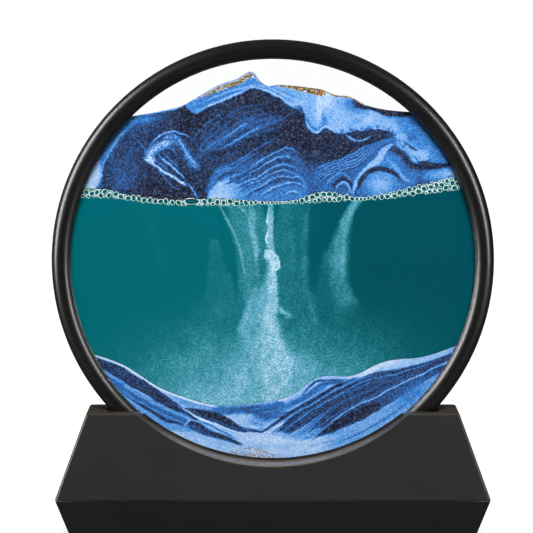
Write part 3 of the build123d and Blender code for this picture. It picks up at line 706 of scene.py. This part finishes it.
def new_material(name):
    """An empty material and its nodes."""
    material = bpy.data.materials.new(name)
    return material, Nodes(material)


def linear(c):
    """An sRGB value from 0 to 255 as linear light."""
    c /= 255
    return c / 12.92 if c <= 0.04045 else ((c + 0.055) / 1.055) ** 2.4


SAND_GRAIN = 0.00042
SAND_TONES = [
    (0.0, (18, 15, 22)),
    (0.14, (30, 34, 56)),
    (0.28, (42, 64, 108)),
    (0.45, (54, 108, 178)),
    (0.56, (44, 128, 216)),
    (0.68, (94, 162, 230)),
    (0.82, (154, 192, 240)),
    (1.0, (224, 240, 252)),
]
STRAY_TONES = [(0.6, (22, 20, 30)), (0.75, (52, 50, 80)), (0.9, (66, 92, 122)), (1.0, (112, 114, 130))]
STRAY_FROM = 0.6  # grains whose random number is above this have a tone of their own
HAZE_TONES = [(0.0, (2, 106, 114)), (0.3, (54, 144, 160)), (0.6, (116, 184, 212)), (1.0, (204, 234, 250))]
GOLD_TONES = [
    (0.0, (38, 34, 34)),
    (0.3, (104, 88, 62)),
    (0.6, (150, 128, 78)),
    (0.85, (190, 166, 100)),
    (1.0, (232, 216, 170)),
]
ORANGE_TONES = [(0.0, (52, 34, 28)), (0.4, (134, 84, 40)), (0.8, (196, 130, 52)), (1.0, (240, 200, 130))]
GREY_TONES = [(0.0, (90, 96, 120)), (0.5, (160, 152, 138)), (1.0, (216, 212, 196))]
PALE_TONES = [(0.0, (138, 172, 230)), (0.6, (168, 202, 245)), (1.0, (212, 226, 250))]
# teal bubble insides up to the near white of the painted rim highlight
BUBBLE_AND_HIGHLIGHT_TONES = [(0.0, (4, 74, 84)), (0.45, (30, 140, 144)), (0.7, (196, 242, 236)), (1.0, (250, 255, 254))]


def sand_material():
    """Sand of two colours, dark and pale blue, mixed grain by grain."""
    material, n = new_material("blue_sand_grains")
    chance, distance = n.cells(SAND_GRAIN)
    patchy = n.noise(0.0022)
    tone = n.attribute("tone")
    reach = n.math("SUBTRACT", 0.45, n.math("MULTIPLY", tone, 0.34))
    reach = n.math("ADD", reach, n.math("MULTIPLY", n.attribute("loose"), 0.9))
    mixed = n.math("ADD", tone, n.swing(chance, 0.46, reach))
    mixed = n.math("ADD", mixed, n.swing(patchy, 0.5, 0.14), clamp=True)
    other, _ = n.cells(0.00055)
    is_stray = n.math("GREATER_THAN", other, STRAY_FROM)
    share = n.math("MULTIPLY", is_stray, n.math("SUBTRACT", 0.75, tone), clamp=True)
    colour = n.mix(share, n.ramp(mixed, SAND_TONES), n.ramp(other, STRAY_TONES))
    normal = n.bump(distance, 0.00008, 0.6)
    n.output(n.principled(colour, normal, Roughness=0.62, Specular_IOR_Level=0.1))
    return material


def liquid_material():
    """Teal liquid with fine sand hanging in it."""
    material, n = new_material("tinted_liquid_haze")
    chance, _ = n.cells(SAND_GRAIN)
    haze = n.attribute("haze")
    contrast = n.math("ADD", n.math("MULTIPLY", haze, 0.75), 0.03)
    bright = n.math("ADD", haze, n.swing(chance, 0.5, contrast), clamp=True)
    teal = n.mix(n.attribute("side"), (0, 105, 116), (0, 80, 93))
    colour = n.mix(n.math("MULTIPLY", bright, 3.5, clamp=True), teal, n.ramp(bright, HAZE_TONES))
    n.output(n.principled(colour, n.bump(chance, 0.00002, 0.3), Roughness=0.5, Specular_IOR_Level=0.04))
    return material


def gold_material():
    """Gold and ochre glitter mixed with pale blue grains."""
    material, n = new_material("gold_sand_glitter")
    chance, distance = n.cells(0.00046)
    other, _ = n.cells(0.00061)
    gold = n.mix(n.attribute("orange"), n.ramp(chance, GOLD_TONES), n.ramp(chance, ORANGE_TONES))
    gold = n.mix(n.attribute("grey"), gold, n.ramp(chance, GREY_TONES))
    is_gold = n.math("LESS_THAN", other, n.attribute("gold"))
    colour = n.mix(is_gold, n.ramp(other, PALE_TONES), gold)
    normal = n.bump(distance, 0.0001, 0.8)
    n.output(n.principled(colour, normal, Roughness=0.42, Metallic=0.2, Specular_IOR_Level=0.3))
    return material


def bubble_material():
    """Teal insides and pale rims, whose paleness is painted highlight, on a wet, glossy surface."""
    material, n = new_material("bubble_film")
    rim = n.math("ADD", n.attribute("rim"), n.swing(n.noise(0.0009), 0.5, 0.3), clamp=True)
    normal = n.bump(n.noise(0.0006), 0.00003, 0.4)
    n.output(n.principled(n.ramp(rim, BUBBLE_AND_HIGHLIGHT_TONES), normal, Roughness=0.15, Specular_IOR_Level=0.5))
    return material


def fall_material():
    """White sand on its way down."""
    material, n = new_material("white_sand_grains")
    chance, distance = n.cells(0.0003)
    tone = n.math("ADD", n.attribute("tone"), n.swing(chance, 0.5, 0.35), clamp=True)
    colour = n.ramp(tone, [(0.0, (24, 112, 128)), (0.5, (116, 178, 200)), (1.0, (218, 236, 246))])
    n.output(n.principled(colour, n.bump(distance, 0.00006, 0.5), Roughness=0.55, Specular_IOR_Level=0.3))
    return material


def plastic_material(name, dark, light, roughness, specular, grain=0.0004, depth=0.000006, dust_and_top_light=None):
    """Moulded black plastic or rubber with a fine grain and faint flow marks.

    dust_and_top_light is the colour laid on the faces that look up, thinner on the top face of the base:
    partly dust and partly painted light, making up-facing faces lighter as light from above would.
    """
    material, n = new_material(name)
    cloud = n.noise(0.018, 4.0)
    fine = n.noise(grain, 2.0)
    colour = n.ramp(cloud, [(0.35, dark), (0.7, light)])
    if dust_and_top_light:
        # painted light mixed with dust: faces are lightened by how far they look upwards
        facing = n.z_part(n.add("ShaderNodeNewGeometry").outputs["Normal"])
        facing = n.span(facing, 0.38, 0.8, interpolation_type="SMOOTHSTEP")
        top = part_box("base_shell")[1].z
        lower_down = n.span(n.z_part(n.place()), top - 0.002, top - 0.012, 0.32, 1.0)
        layer = n.math("MULTIPLY", facing, lower_down)
        layer = n.math("MULTIPLY", layer, n.math("ADD", n.math("MULTIPLY", fine, 0.3), 0.85), clamp=True)
        colour = n.mix(layer, colour, dust_and_top_light)
    rough = n.math("ADD", n.swing(cloud, 0.5, 0.12), roughness)
    rough = n.math("ADD", rough, n.swing(fine, 0.5, 0.06))
    n.output(n.principled(colour, n.bump(fine, depth), rough, Specular_IOR_Level=specular))
    return material


def glass_material():
    """Clear glass with the faintest smears."""
    material, n = new_material("pane_glass_clear")
    facing = n.add("ShaderNodeLayerWeight")
    facing.inputs["Blend"].default_value = 0.1
    clear = n.add("ShaderNodeBsdfTransparent")
    clear.inputs["Color"].default_value = (0.996, 1.0, 0.998, 1)
    gloss = n.add("ShaderNodeBsdfGlossy")
    smear = n.math("ADD", n.math("MULTIPLY", n.noise(0.03, 5.0), 0.03), 0.005)
    n.link(smear, gloss.inputs["Roughness"])
    n.output(n.mix_shaders(facing.outputs["Facing"], clear.outputs["BSDF"], gloss.outputs["BSDF"]))
    return material


def steel_material():
    """Zinc-plated steel, rolled or turned."""
    material, n = new_material("zinc_plated_steel")
    chance, _ = n.cells(0.0021)
    mottled = n.math("MULTIPLY", n.math("ADD", chance, n.noise(0.0007)), 0.5)
    colour = n.ramp(mottled, [(0.3, (138, 140, 142)), (0.7, (186, 188, 188))])
    rough = n.math("ADD", n.math("MULTIPLY", chance, 0.16), 0.26)
    n.output(n.principled(colour, n.bump(n.noise(0.0003), 0.000008), rough, Metallic=1.0))
    return material


def paint(node_names, material):
    """Gives CAD nodes their finish."""
    for name in node_names:
        mesh = frame["nodes"][name].data
        mesh.materials.clear()
        mesh.materials.append(material)


# ================================================================ the cell's contents
SAND_DEPTH, LIQUID_DEPTH = CELL_Y, CELL_Y - 0.07  # from the middle of the cell to each face
GRAIN_RELIEF = 0.1
GREYNESS_AT_FOOT = 0.6
ridge, underside, waterline, dunes = graph(RIDGE), graph(UNDERSIDE), graph(WATERLINE), graph(DUNES)
LEFT_GOLD = graph([(-32, 0.1), (-27, 1.5), (-21, 2.4), (-15, 2.4), (-9.7, 2.5), (-5.4, 1.0)])
RIGHT_GOLD = graph([(1, 0.1), (8, 1.3), (14, 2.1), (20, 2.3), (23, 0.8), (26, 0.4), (31, 0.5), (38, 0.3)])
UPPER_GOLD = [
    ((-32, -5.4), lambda u: ridge(u) - LEFT_GOLD(u) - 0.25 * noise(u, u, 0.8, 3)),
    ((1, 38), lambda u: ridge(u) - RIGHT_GOLD(u) - 0.25 * noise(u, u, 0.8, 5)),
]
LOWER_GOLD = ((-20, 5), graph([(-20, -79.5), (-15, -77.8), (-10, -76.8), (-6, -77), (-2, -78.6), (5, -81.4)]))


def upper_top(u):
    """The upper sand's ridge, lowered where gold lies on it."""
    top = ridge(u)
    for (left, right), line in UPPER_GOLD:
        top = np.where((u > left) & (u < right), np.minimum(top, line(u)), top)
    return top


def lower_bottom(u):
    """The foot of the lower sand, raised where gold lies below it."""
    (left, right), line = LOWER_GOLD
    return np.where((u > left) & (u < right), line(u), -CELL_R)


def finish_piece(piece, material, node, body="frame", smooth_shade=False):
    """Material, smoothing, body and the CAD node that a piece stands for."""
    piece.data.materials.append(material)
    if smooth_shade:
        piece.data.shade_smooth()
    else:
        piece.data.shade_flat()
    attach(piece, body)
    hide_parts(node)


sand = sand_material()
upper_piece = slab("upper_sand_layers", upper_top, underside, SAND_DEPTH,
                   lambda u, v: paint_upper(u, v).attributes(), pitch=0.42, seed=61, relief=GRAIN_RELIEF)
finish_piece(upper_piece, sand, "upper_sand", smooth_shade=True)
lower_piece = slab("lower_sand_dunes", dunes, lower_bottom, SAND_DEPTH,
                   lambda u, v: paint_lower(u, v).attributes(), pitch=0.36, seed=67, relief=GRAIN_RELIEF)
finish_piece(lower_piece, sand, "lower_sand", smooth_shade=True)


def gold_tints(u, v):
    """Gold is orange on a short stretch of the ridge and greyer at the foot of the dunes."""
    return {"orange": smooth(u, 15, 19) * smooth(-u, -26, -22), "grey": GREYNESS_AT_FOOT * (v < 0)}


def gold_paint(top, share):
    """Attributes of a gold layer under an outline, share of whose grains are gold."""
    def values(u, v):
        crest = (1 - smooth(top(u) - v, 0.5, 1.0)) * (u < -4) * (v > 0)
        patchy = 0.7 + 0.6 * noise(u, v, 1.6, 19)
        return {"gold": np.clip(share(u) * patchy * (1 - crest), 0, 1), **gold_tints(u, v)}
    return values


gold = gold_material()
gold_layers = [(span, ridge, line, lambda u: 0.85 + 0 * u) for span, line in UPPER_GOLD]
gold_layers.append((LOWER_GOLD[0], LOWER_GOLD[1], lambda u: np.full(np.shape(u), -CELL_R),
                    lambda u: 0.08 + 0.30 * np.exp(-(((u + 7) / 4) ** 2))))
for k, (span, top, low, share) in enumerate(gold_layers):
    layer = slab(f"gold_layer_{k + 1}", top, low, SAND_DEPTH, gold_paint(top, share),
                 pitch=0.3, seed=71 + k, relief=GRAIN_RELIEF, span=span)
    finish_piece(layer, gold, "gold_sand")


# ---------------------------------------------------------------- liquid
MAIN_FALL = [(-0.6, 23, 1.0), (-1.2, 10, 1.0), (-0.8, 1, 2.2), (-0.2, -8, 1.4), (-0.8, -24, 3.4)]
MAIN_FALL += [(0.6, -42, 5.6), (1.4, -58, 6.4)]


def paint_liquid(u, v):
    """How much sand hangs in the liquid, and how far to the right a point lies."""
    c = Canvas(u, v, 81, 0.0)
    c.lay(smooth(-c.v, 4, 62) * np.exp(-(((c.u + 4) / 54) ** 2)), 0.52)
    c.lay(smooth(-c.v, 26, 60) * np.exp(-(((c.u + 4) / 34) ** 2)) * 0.7, 0.60)
    # the curtains, from left to right
    c.veil([(-22, 23, 0.5), (-16, 12, 1.6), (-13, 3, 2.4), (-11.5, -8, 3.2), (-11, -20, 4)], 0.20)
    c.veil([(-15, 23.5, 4.8), (-12, 12, 4.4), (-10, 3, 4.0), (-8, -8, 4.4), (-6, -22, 6)], 0.27)
    c.veil([(-19, -6, 2), (-19, -14, 5), (-20, -30, 9)], 0.16)
    c.veil([(5, 23, 3), (5, 8, 6), (6, -8, 8), (7, -24, 12), (8, -40, 15)], 0.17)
    c.veil([(22, 3, 2), (22, -6, 4), (21, -20, 8), (20, -38, 12)], 0.13)
    c.veil([(34.5, 24.8, 2.4), (31, 19.6, 2.6), (28.7, 12.5, 3.4), (26.8, 5, 4.6),
            (26.6, -2, 4.8), (27, -8, 4.4),
            (31, -20, 6)], 0.22)
    c.veil([(34.5, 24.8, 1.4), (31, 19.6, 1.4), (28.7, 12.5, 1.8), (26.8, 5, 2.6),
            (26.6, -2, 2.6), (27, -8, 2.2)],
           0.30)
    c.veil([(-24, 8, 2), (-22, -10, 6), (-24, -30, 12)], 0.13)
    c.veil([(-0.8, 23, 1.4), (-1.2, 6, 1.8), (-1, -8, 3), (-3, -20, 6), (-5, -30, 9),
            (-1, -42, 11), (0, -58, 15)],
           0.50)
    c.veil([(-7, -12, 1.5), (-9, -20, 3), (-9.4, -29, 4)], 0.40)
    c.veil([(-0.2, -4, 1.5), (0, -16, 2.2), (-1.5, -28, 4.0), (1, -40, 6), (2, -56, 7)], 0.68)
    c.stroke([(-52, 22), (-49.6, 14), (-47, 4), (-46, -6)], 1.6, 0.10, soft=3.0, strength=0.8)
    c.veil([(-7, 23, 3), (-5, 10, 4), (-4, 0, 4.5), (-4, -10, 6)], 0.21)
    c.veil([(10, 23, 4), (10, 0, 5), (11, -12, 6)], 0.13)
    # bright strands
    c.stroke([(-21.7, 22.6), (-19.6, 18), (-15.9, 11.6), (-13, 2.9), (-11.2, -7.1)],
             0.5, 0.62, strength=0.8)
    c.stroke([(-9.8, 24.1), (-8.3, 19.6), (-8.8, 15.9), (-8.1, 10.5), (-6.9, 5.3), (-6.9, -2)],
             1.8, 0.50, soft=1.4)
    c.stroke([(-14.5, 24.3), (-14, 22.4), (-11.8, 20.6), (-10.8, 20.8)], 0.5, 0.70)
    c.stroke([(-1, 24.4), (-1.7, 20.1), (-2.4, 16.9), (-1.7, 14.5), (-2.2, 11.5), (-2.2, 8), (-0.7, 4.6)],
             0.7, 1.0,
             taper=0.05)
    c.stroke([(0.3, 24), (-0.2, 16.4), (-0.2, 8), (0.3, 4.6)], 0.4, 0.74)
    c.stroke([(-0.4, 24), (-1.1, 15), (-1.0, 5)], 1.7, 0.56, soft=0.5, strength=0.9, taper=0.02)
    c.stroke([(-3.8, 2.4), (-1, 2.4), (0.6, -0.6), (0.9, -4.4)], 3.4, 0.92, soft=0.6, taper=0.12)
    c.stroke([(-0.4, 4.2), (1.2, 2.2), (2.6, -0.1), (1.7, -3.3), (0.3, -4.8)], 0.7, 0.97)
    c.stroke([(-0.2, -4), (0, -9), (0.1, -17)], 2.0, 0.74, soft=1.6, taper=0.1)
    c.stroke([(15, 24.2), (14.1, 18.7), (13, 7), (13.2, -2.4), (12.7, -9.4)],
             0.8, 0.30, soft=2.0, strength=0.6)
    c.stroke([(12.7, -9.4), (15, -16.4), (17.3, -25.2)], 1.2, 0.30, soft=2.2, strength=0.7)
    c.stroke([(34.8, 25), (31.8, 19.9), (29.6, 12.5), (28.6, 4), (28.8, -5)],
             0.8, 0.48, soft=1.4, strength=0.85)
    c.stroke([(33, 24.4), (29.6, 18), (27.4, 12), (25, 5)], 0.6, 0.40, soft=0.8)
    # where some falling clumps end
    c.stroke([(-9.2, -16), (-11.2, -24), (-13.2, -28.6), (-10.6, -29.6)], 1.6, 0.50, soft=1.4)
    c.stroke([(1.8, -18.4), (4.6, -21.2), (7, -22.4), (5, -23.4)], 1.1, 0.58, soft=0.8)
    c.glow(2.2, -22.6, 1.2, 1.5, 0.12, 0.8)
    c.glow(30.4, -16, 2.4, 2.0, 0.30, 0.8)
    c.glow(27, 1, 1.6, 5, 0.40, 0.5)
    c.glow(4, -40, 4, 5, 0.72, 0.6)
    streaks = 0.86 + 0.28 * noise(c.u, c.v * 0.5, 1.4, 83)
    clouds = 0.84 + 0.32 * noise(c.u, c.v, 7.0, 85)
    return {"haze": np.clip(c.tone * streaks * clouds, 0, 1), "side": smooth(u, -30, 40)}


liquid_piece = slab("liquid_fill", waterline, dunes, LIQUID_DEPTH, paint_liquid, pitch=0.5, seed=89)
finish_piece(liquid_piece, liquid_material(), "liquid", smooth_shade=True)


# ---------------------------------------------------------------- bubbles
LONG_BUBBLE = (-33.0, 24.3, 1.6)
BUBBLE_MIDDLE, BUBBLE_RIM, BUBBLE_BACK = 0.12, 0.22, 0.5  # how far these lie behind the glass
BUBBLE_SPACING = 0.84  # least distance between two middles, as a share of both radii
FULL_RIM_R = 0.75  # smaller bubbles have narrower rims


def stretch(radius):
    """How much wider than high a bubble is: only the long one is."""
    return 1.8 if radius > 1.5 else 1.0


def bubble_spots(rng, tries=14000):
    """Middles and radii of bubbles packed into the band, mostly the big ones first."""
    low, high = extent(underside, waterline)
    spots = [LONG_BUBBLE]
    radii = 0.5 + 0.75 * rng.random(tries) ** 1.6
    radii = radii[np.argsort(0.4 * rng.random(tries) - radii)]
    for radius, u in zip(radii, rng.uniform(low + 0.6, high - 0.6, tries)):
        floor, ceiling = waterline(u), underside(u)
        if ceiling - floor < 1.5 * radius:
            continue
        v = rng.uniform(floor + 0.6 * radius, ceiling - 0.6 * radius)
        if math.hypot(u, v) > CELL_R - radius:
            continue
        if all(((u - a) / stretch(r)) ** 2 + (v - b) ** 2 > (BUBBLE_SPACING * (radius + r)) ** 2
               for a, b, r in spots):
            spots.append((u, v, radius))
    return spots


def bubble_mesh(spots, sides=(-1, 1), around=22):
    """Each bubble as a dome inside a raised rim, at the front and the rear of the cell."""
    # distance from the rim's outside, height and paleness, which is painted highlight
    profile = [(0.62, 0.08, 0.06), (0.42, 0.06, 0.12), (0.32, 0.15, 0.9), (0.18, 0.20, 1.0)]
    profile += [(0.05, 0.14, 0.85), (0.0, -0.05, 0.4), (0.03, -0.25, 0.2)]
    angles = np.arange(around) * 2 * math.pi / around
    points, faces, rim_highlights = [], [], []
    for side in sides:
        for number, (u, v, r) in enumerate(spots):
            longer = (stretch(r) - 1) * r
            uneven = 1 + 0.13 * np.cos(2 * angles + number) + 0.06 * np.cos(3 * angles + 2.3 * number)
            start = len(points)
            points.append((u, v, side * (CELL_Y - BUBBLE_MIDDLE)))
            rim_highlights.append(0.1)
            for inset, rise, rim in profile:
                radius = max(r - inset * min(1, r / FULL_RIM_R), 0.08)
                for a, share in zip(angles, uneven):
                    points.append((u + share * (radius + longer) * math.cos(a),
                                   v + share * radius * math.sin(a), side * (CELL_Y - BUBBLE_RIM + rise)))
                    # painted highlight: each rim is paler on its upper left side, as if lit from there
                    rim_highlights.append(rim * (0.84 + 0.22 * math.sin(a - 0.6)))
            points.append((u, v, side * (CELL_Y - BUBBLE_BACK)))
            rim_highlights.append(0.0)
            first = start + 1
            last = first + around * (len(profile) - 1)
            for k in range(around):
                m = (k + 1) % around
                faces.append((start, first + k, first + m))
                faces.append((len(points) - 1, last + m, last + k))
                for ring in range(len(profile) - 1):
                    a, b = first + ring * around, first + (ring + 1) * around
                    faces.append((a + k, b + k, b + m, a + m))
    u, v, y = np.array(points).T
    return place(u, v, y), faces, {"rim": rim_highlights}


film = bubble_material()
bubble_rng = np.random.default_rng(97)
foam = slab("bubble_foam", underside, waterline, CELL_Y - 0.25,
            lambda u, v: {"rim": 0.35 * noise(u, v, 0.7, 99)}, pitch=0.5, seed=101)
finish_piece(foam, film, "bubble_layer", smooth_shade=True)
bubbles = make("bubbles_row", *bubble_mesh(bubble_spots(bubble_rng)))
finish_piece(bubbles, film, "bubble_layer", smooth_shade=True)


# ---------------------------------------------------------------- falling sand
def scatter(rng, count, stations, power=1.0):
    """Points along a falling sheet: middle, height and half width from the top down."""
    s = np.array(stations[::-1], float)
    height = rng.random(count) ** power
    v = s[-1, 1] + (s[0, 1] - s[-1, 1]) * height
    middle, half = hermite(s[:, 1], s[:, 0], v), hermite(s[:, 1], s[:, 2], v)
    u = middle + half * np.clip(rng.normal(size=count) * 0.5, -1.6, 1.6)
    return u, v


def either_side(rng, count):
    """The front (-1) or the rear (1) of the cell, by chance."""
    return np.where(rng.random(count) < 0.5, -1, 1)


# stations, number of grains, power (above 1 gathers them low down, below 1 high up), tone
STREAMS = [
    (MAIN_FALL, 1500, 0.8, 0.62),
    ([(-1.3, 23.2, 0.3), (-2.4, 16.4, 0.35), (-2.2, 7, 0.35), (-1.2, 2, 0.9)], 260, 1.0, 0.95),
    ([(0.5, 23, 0.25), (-0.2, 18.7, 0.25), (0, 7, 0.3), (0.3, 2, 0.7)], 120, 1.0, 0.7),
    ([(-21.8, 22.9, 0.3), (-15.9, 11.6, 0.5), (-13, 2.9, 0.9), (-11.2, -7.1, 1.6)], 420, 1.2, 0.65),
    ([(-14.2, 23.2, 3.6), (-11, 12, 3.4), (-9, 3, 3.2), (-8, -12, 4.2)], 900, 1.0, 0.5),
    ([(-12, 22.6, 0.9), (-8.6, 13.4, 0.7), (-6.9, 3.5, 0.8), (-6, -7, 1.4)], 620, 1.1, 0.75),
    ([(15, 24, 0.6), (14.1, 18.7, 0.8), (13, 7, 1.2), (13, -8, 2.2), (17, -26, 3.2)], 260, 1.1, 0.42),
    ([(34.5, 24.8, 1.6), (31, 19.6, 1.8), (28.6, 12, 2.4), (26.8, 5, 3.6), (27.4, -12, 4)], 900, 1.0, 0.5),
    ([(5, 20, 3), (6, -8, 7), (8, -40, 14)], 900, 0.9, 0.42),
    ([(-10, -14, 10), (-8, -36, 20), (-4, -57, 26)], 1800, 0.9, 0.5),
]
falling = fall_material()
for k, (stations, count, power, tone) in enumerate(STREAMS):
    rng = np.random.default_rng(110 + k)
    u, v = scatter(rng, count, stations, power)
    keep = (v > dunes(u)) & (v < waterline(u)) & (np.hypot(u, v) < CELL_R - 0.3)
    u, v = u[keep], v[keep]
    y = either_side(rng, len(u)) * (LIQUID_DEPTH - rng.uniform(0, 0.06, len(u)))
    size = rng.uniform(0.07, 0.14, len(u))
    tones = np.clip(tone + rng.normal(size=len(u)) * 0.15, 0, 1)
    piece = grains(f"falling_grains_{k + 1}", u, v, np.clip(y, -CELL_Y + 0.1, CELL_Y - 0.1), size, rng,
                   {"tone": tones})
    finish_piece(piece, falling, "falling_sand")

# ---------------------------------------------------------------- gold flakes
FLAKE_TRIES = 900
FLAKE_INSET, FLAKE_END = 0.3, 0.4  # from a layer's outlines and from its ends
FLAKE_BACK = 0.16  # behind the glass

for k, (span, top, low, share) in enumerate(gold_layers):
    rng = np.random.default_rng(130 + k)
    u = rng.uniform(span[0] + FLAKE_END, span[1] - FLAKE_END, FLAKE_TRIES)
    u = u[rng.random(FLAKE_TRIES) < share(u)]
    chord = np.sqrt(CELL_R**2 - u**2)
    high, deep = np.minimum(top(u), chord) - FLAKE_INSET, np.maximum(low(u), -chord) + FLAKE_INSET
    v = deep + rng.random(len(u)) * np.maximum(high - deep, 0)
    keep = high > deep
    u, v = u[keep], v[keep]
    y = either_side(rng, len(u)) * (CELL_Y - FLAKE_BACK)
    size = rng.uniform(0.06, 0.11, len(u))
    tints = {"gold": np.ones(len(u)), **gold_tints(u, v)}
    flakes = grains(f"gold_flakes_{k + 1}", u, v, y, size, rng, tints, flat=0.5)
    finish_piece(flakes, gold, "gold_sand")

# ================================================================ the CAD nodes' finishes
ring_plastic = plastic_material("ring_plastic_satin", (6, 6, 6), (10, 10, 10), 0.35, 0.5, 0.0025, 0.000001)
# the base's faces that look up carry painted light mixed with warm dust
base_plastic = plastic_material("base_plastic_matt", (35, 35, 35), (37, 37, 37), 0.24, 0.26,
                                dust_and_top_light=(101, 88, 75))
rubber = plastic_material("foot_rubber_matt", (24, 24, 25), (36, 36, 37), 0.75, 0.3, 0.0007, 0.00002)
foam_liner = plastic_material("liner_foam_cells", (20, 20, 22), (44, 44, 46), 0.9, 0.2, 0.0005, 0.00006)
silicone = plastic_material("silicone_black", (10, 10, 11), (18, 18, 19), 0.5, 0.4, 0.0008, 0.00001)
paint(["front_bezel", "rear_bezel"], ring_plastic)
paint(["base_shell", "base_tray"], base_plastic)
paint(["front_glass", "rear_glass"], glass_material())
paint(["front_seal", "rear_seal", "fill_plug"], silicone)
paint(["cell_spacer"], plastic_material("spacer_plastic_dark", (12, 13, 15), (22, 24, 27), 0.4, 0.4))
paint(["groove_liner"], foam_liner)
paint(["rubber_feet"], rubber)
paint(["ballast_plate", "ballast_screws", "tray_screws"], steel_material())

# ================================================================ camera, floor and lights
CAMERA_DISTANCE = 1.193
CAMERA_ELEVATION = math.radians(5.0)
CAMERA_LENS = 197.6
CAMERA_SHIFT = (-0.0119, -0.0110)
FLOOR_REACH = 4.0


def aim(obj, direction):
    """Turns a camera or a light towards where it has to look."""
    obj.rotation_mode = "QUATERNION"
    obj.rotation_quaternion = direction.to_track_quat("-Z", "Y")


camera = add_object("camera", bpy.data.cameras.new("camera"))
back = Vector((0, -math.cos(CAMERA_ELEVATION), math.sin(CAMERA_ELEVATION)))
camera.location = AXIS + CAMERA_DISTANCE * back
aim(camera, -back)
camera.data.lens = CAMERA_LENS
camera.data.sensor_width = 36
camera.data.shift_x, camera.data.shift_y = CAMERA_SHIFT
bpy.context.scene.camera = camera

floor_mesh = bpy.data.meshes.new("floor")
corners = [(FLOOR_REACH * x, FLOOR_REACH * y, 0) for x, y in ((-1, -1), (1, -1), (1, 1), (-1, 1))]
floor_mesh.from_pydata(corners, [], [(0, 1, 2, 3)])
floor = add_object("floor", floor_mesh)
floor_material, n = new_material("floor_pale")


def floor_shade(dark, light, **constants):
    """Matt grey, a little uneven, between two levels."""
    colour = n.ramp(n.noise(0.4), [(0.3, (dark,) * 3), (0.7, (light,) * 3)])
    return n.principled(colour, Roughness=0.9, Specular_IOR_Level=0.0, **constants)


# painted shade: the floor's emission is darker within about half a metre of its middle, a soft shadow round
# the object
distance = n.add("ShaderNodeVectorMath", operation="LENGTH")
n.link(n.place(), distance.inputs[0])
glow = n.ramp(distance.outputs["Value"], [(0.10, (238, 238, 238)), (0.55, (255, 255, 255))])
bright = floor_shade(120, 128, Emission_Strength=1.0)
n.link(glow, bright.node.inputs["Emission Color"])
n.output(n.mix_shaders(n.camera_ray(), floor_shade(78, 84), bright))
floor_mesh.materials.append(floor_material)

world = bpy.data.worlds.new("studio")
bpy.context.scene.world = world
n = Nodes(world)
seen, lit = n.add("ShaderNodeBackground"), n.add("ShaderNodeBackground")
seen.inputs["Color"].default_value = (1, 1, 1, 1)
seen.inputs["Strength"].default_value = 1.0
height = n.z_part(n.add("ShaderNodeTexCoord").outputs["Generated"])
sky = n.ramp(height, [(0.0, (30, 30, 30)), (0.3, (34, 34, 35)), (0.9, (120, 120, 120))])
n.link(sky, lit.inputs["Color"])
lit.inputs["Strength"].default_value = 1.0
both = n.mix_shaders(n.camera_ray(), lit.outputs["Background"], seen.outputs["Background"])
n.output(both, "ShaderNodeOutputWorld")


def area_light(name, location, width, height, power, mirrored=True, scattered=True):
    """A softbox that faces the middle of the ring, seen by shiny faces, matt ones or both.

    Places and sizes are in metres, power is in watts.
    """
    data = bpy.data.lights.new(name, "AREA")
    data.shape = "RECTANGLE"
    data.size, data.size_y = width, height
    data.energy = power
    light = add_object(name, data)
    light.location = location
    aim(light, AXIS - Vector(location))
    light.visible_glossy = mirrored
    light.visible_diffuse = scattered


area_light("left_strip", (-1.10, -0.38, 0.50), 0.34, 1.1, 34, scattered=False)
area_light("right_strip", (1.0, -0.72, 0.42), 0.24, 0.8, 16, scattered=False)
area_light("front_soft", (0.06, -1.3, 1.4), 1.1, 0.6, 51, mirrored=False)
area_light("top_soft", (0, 0.4, 1.6), 1.4, 0.8, 12, mirrored=False)

bpy.context.scene.view_settings.view_transform = "Standard"
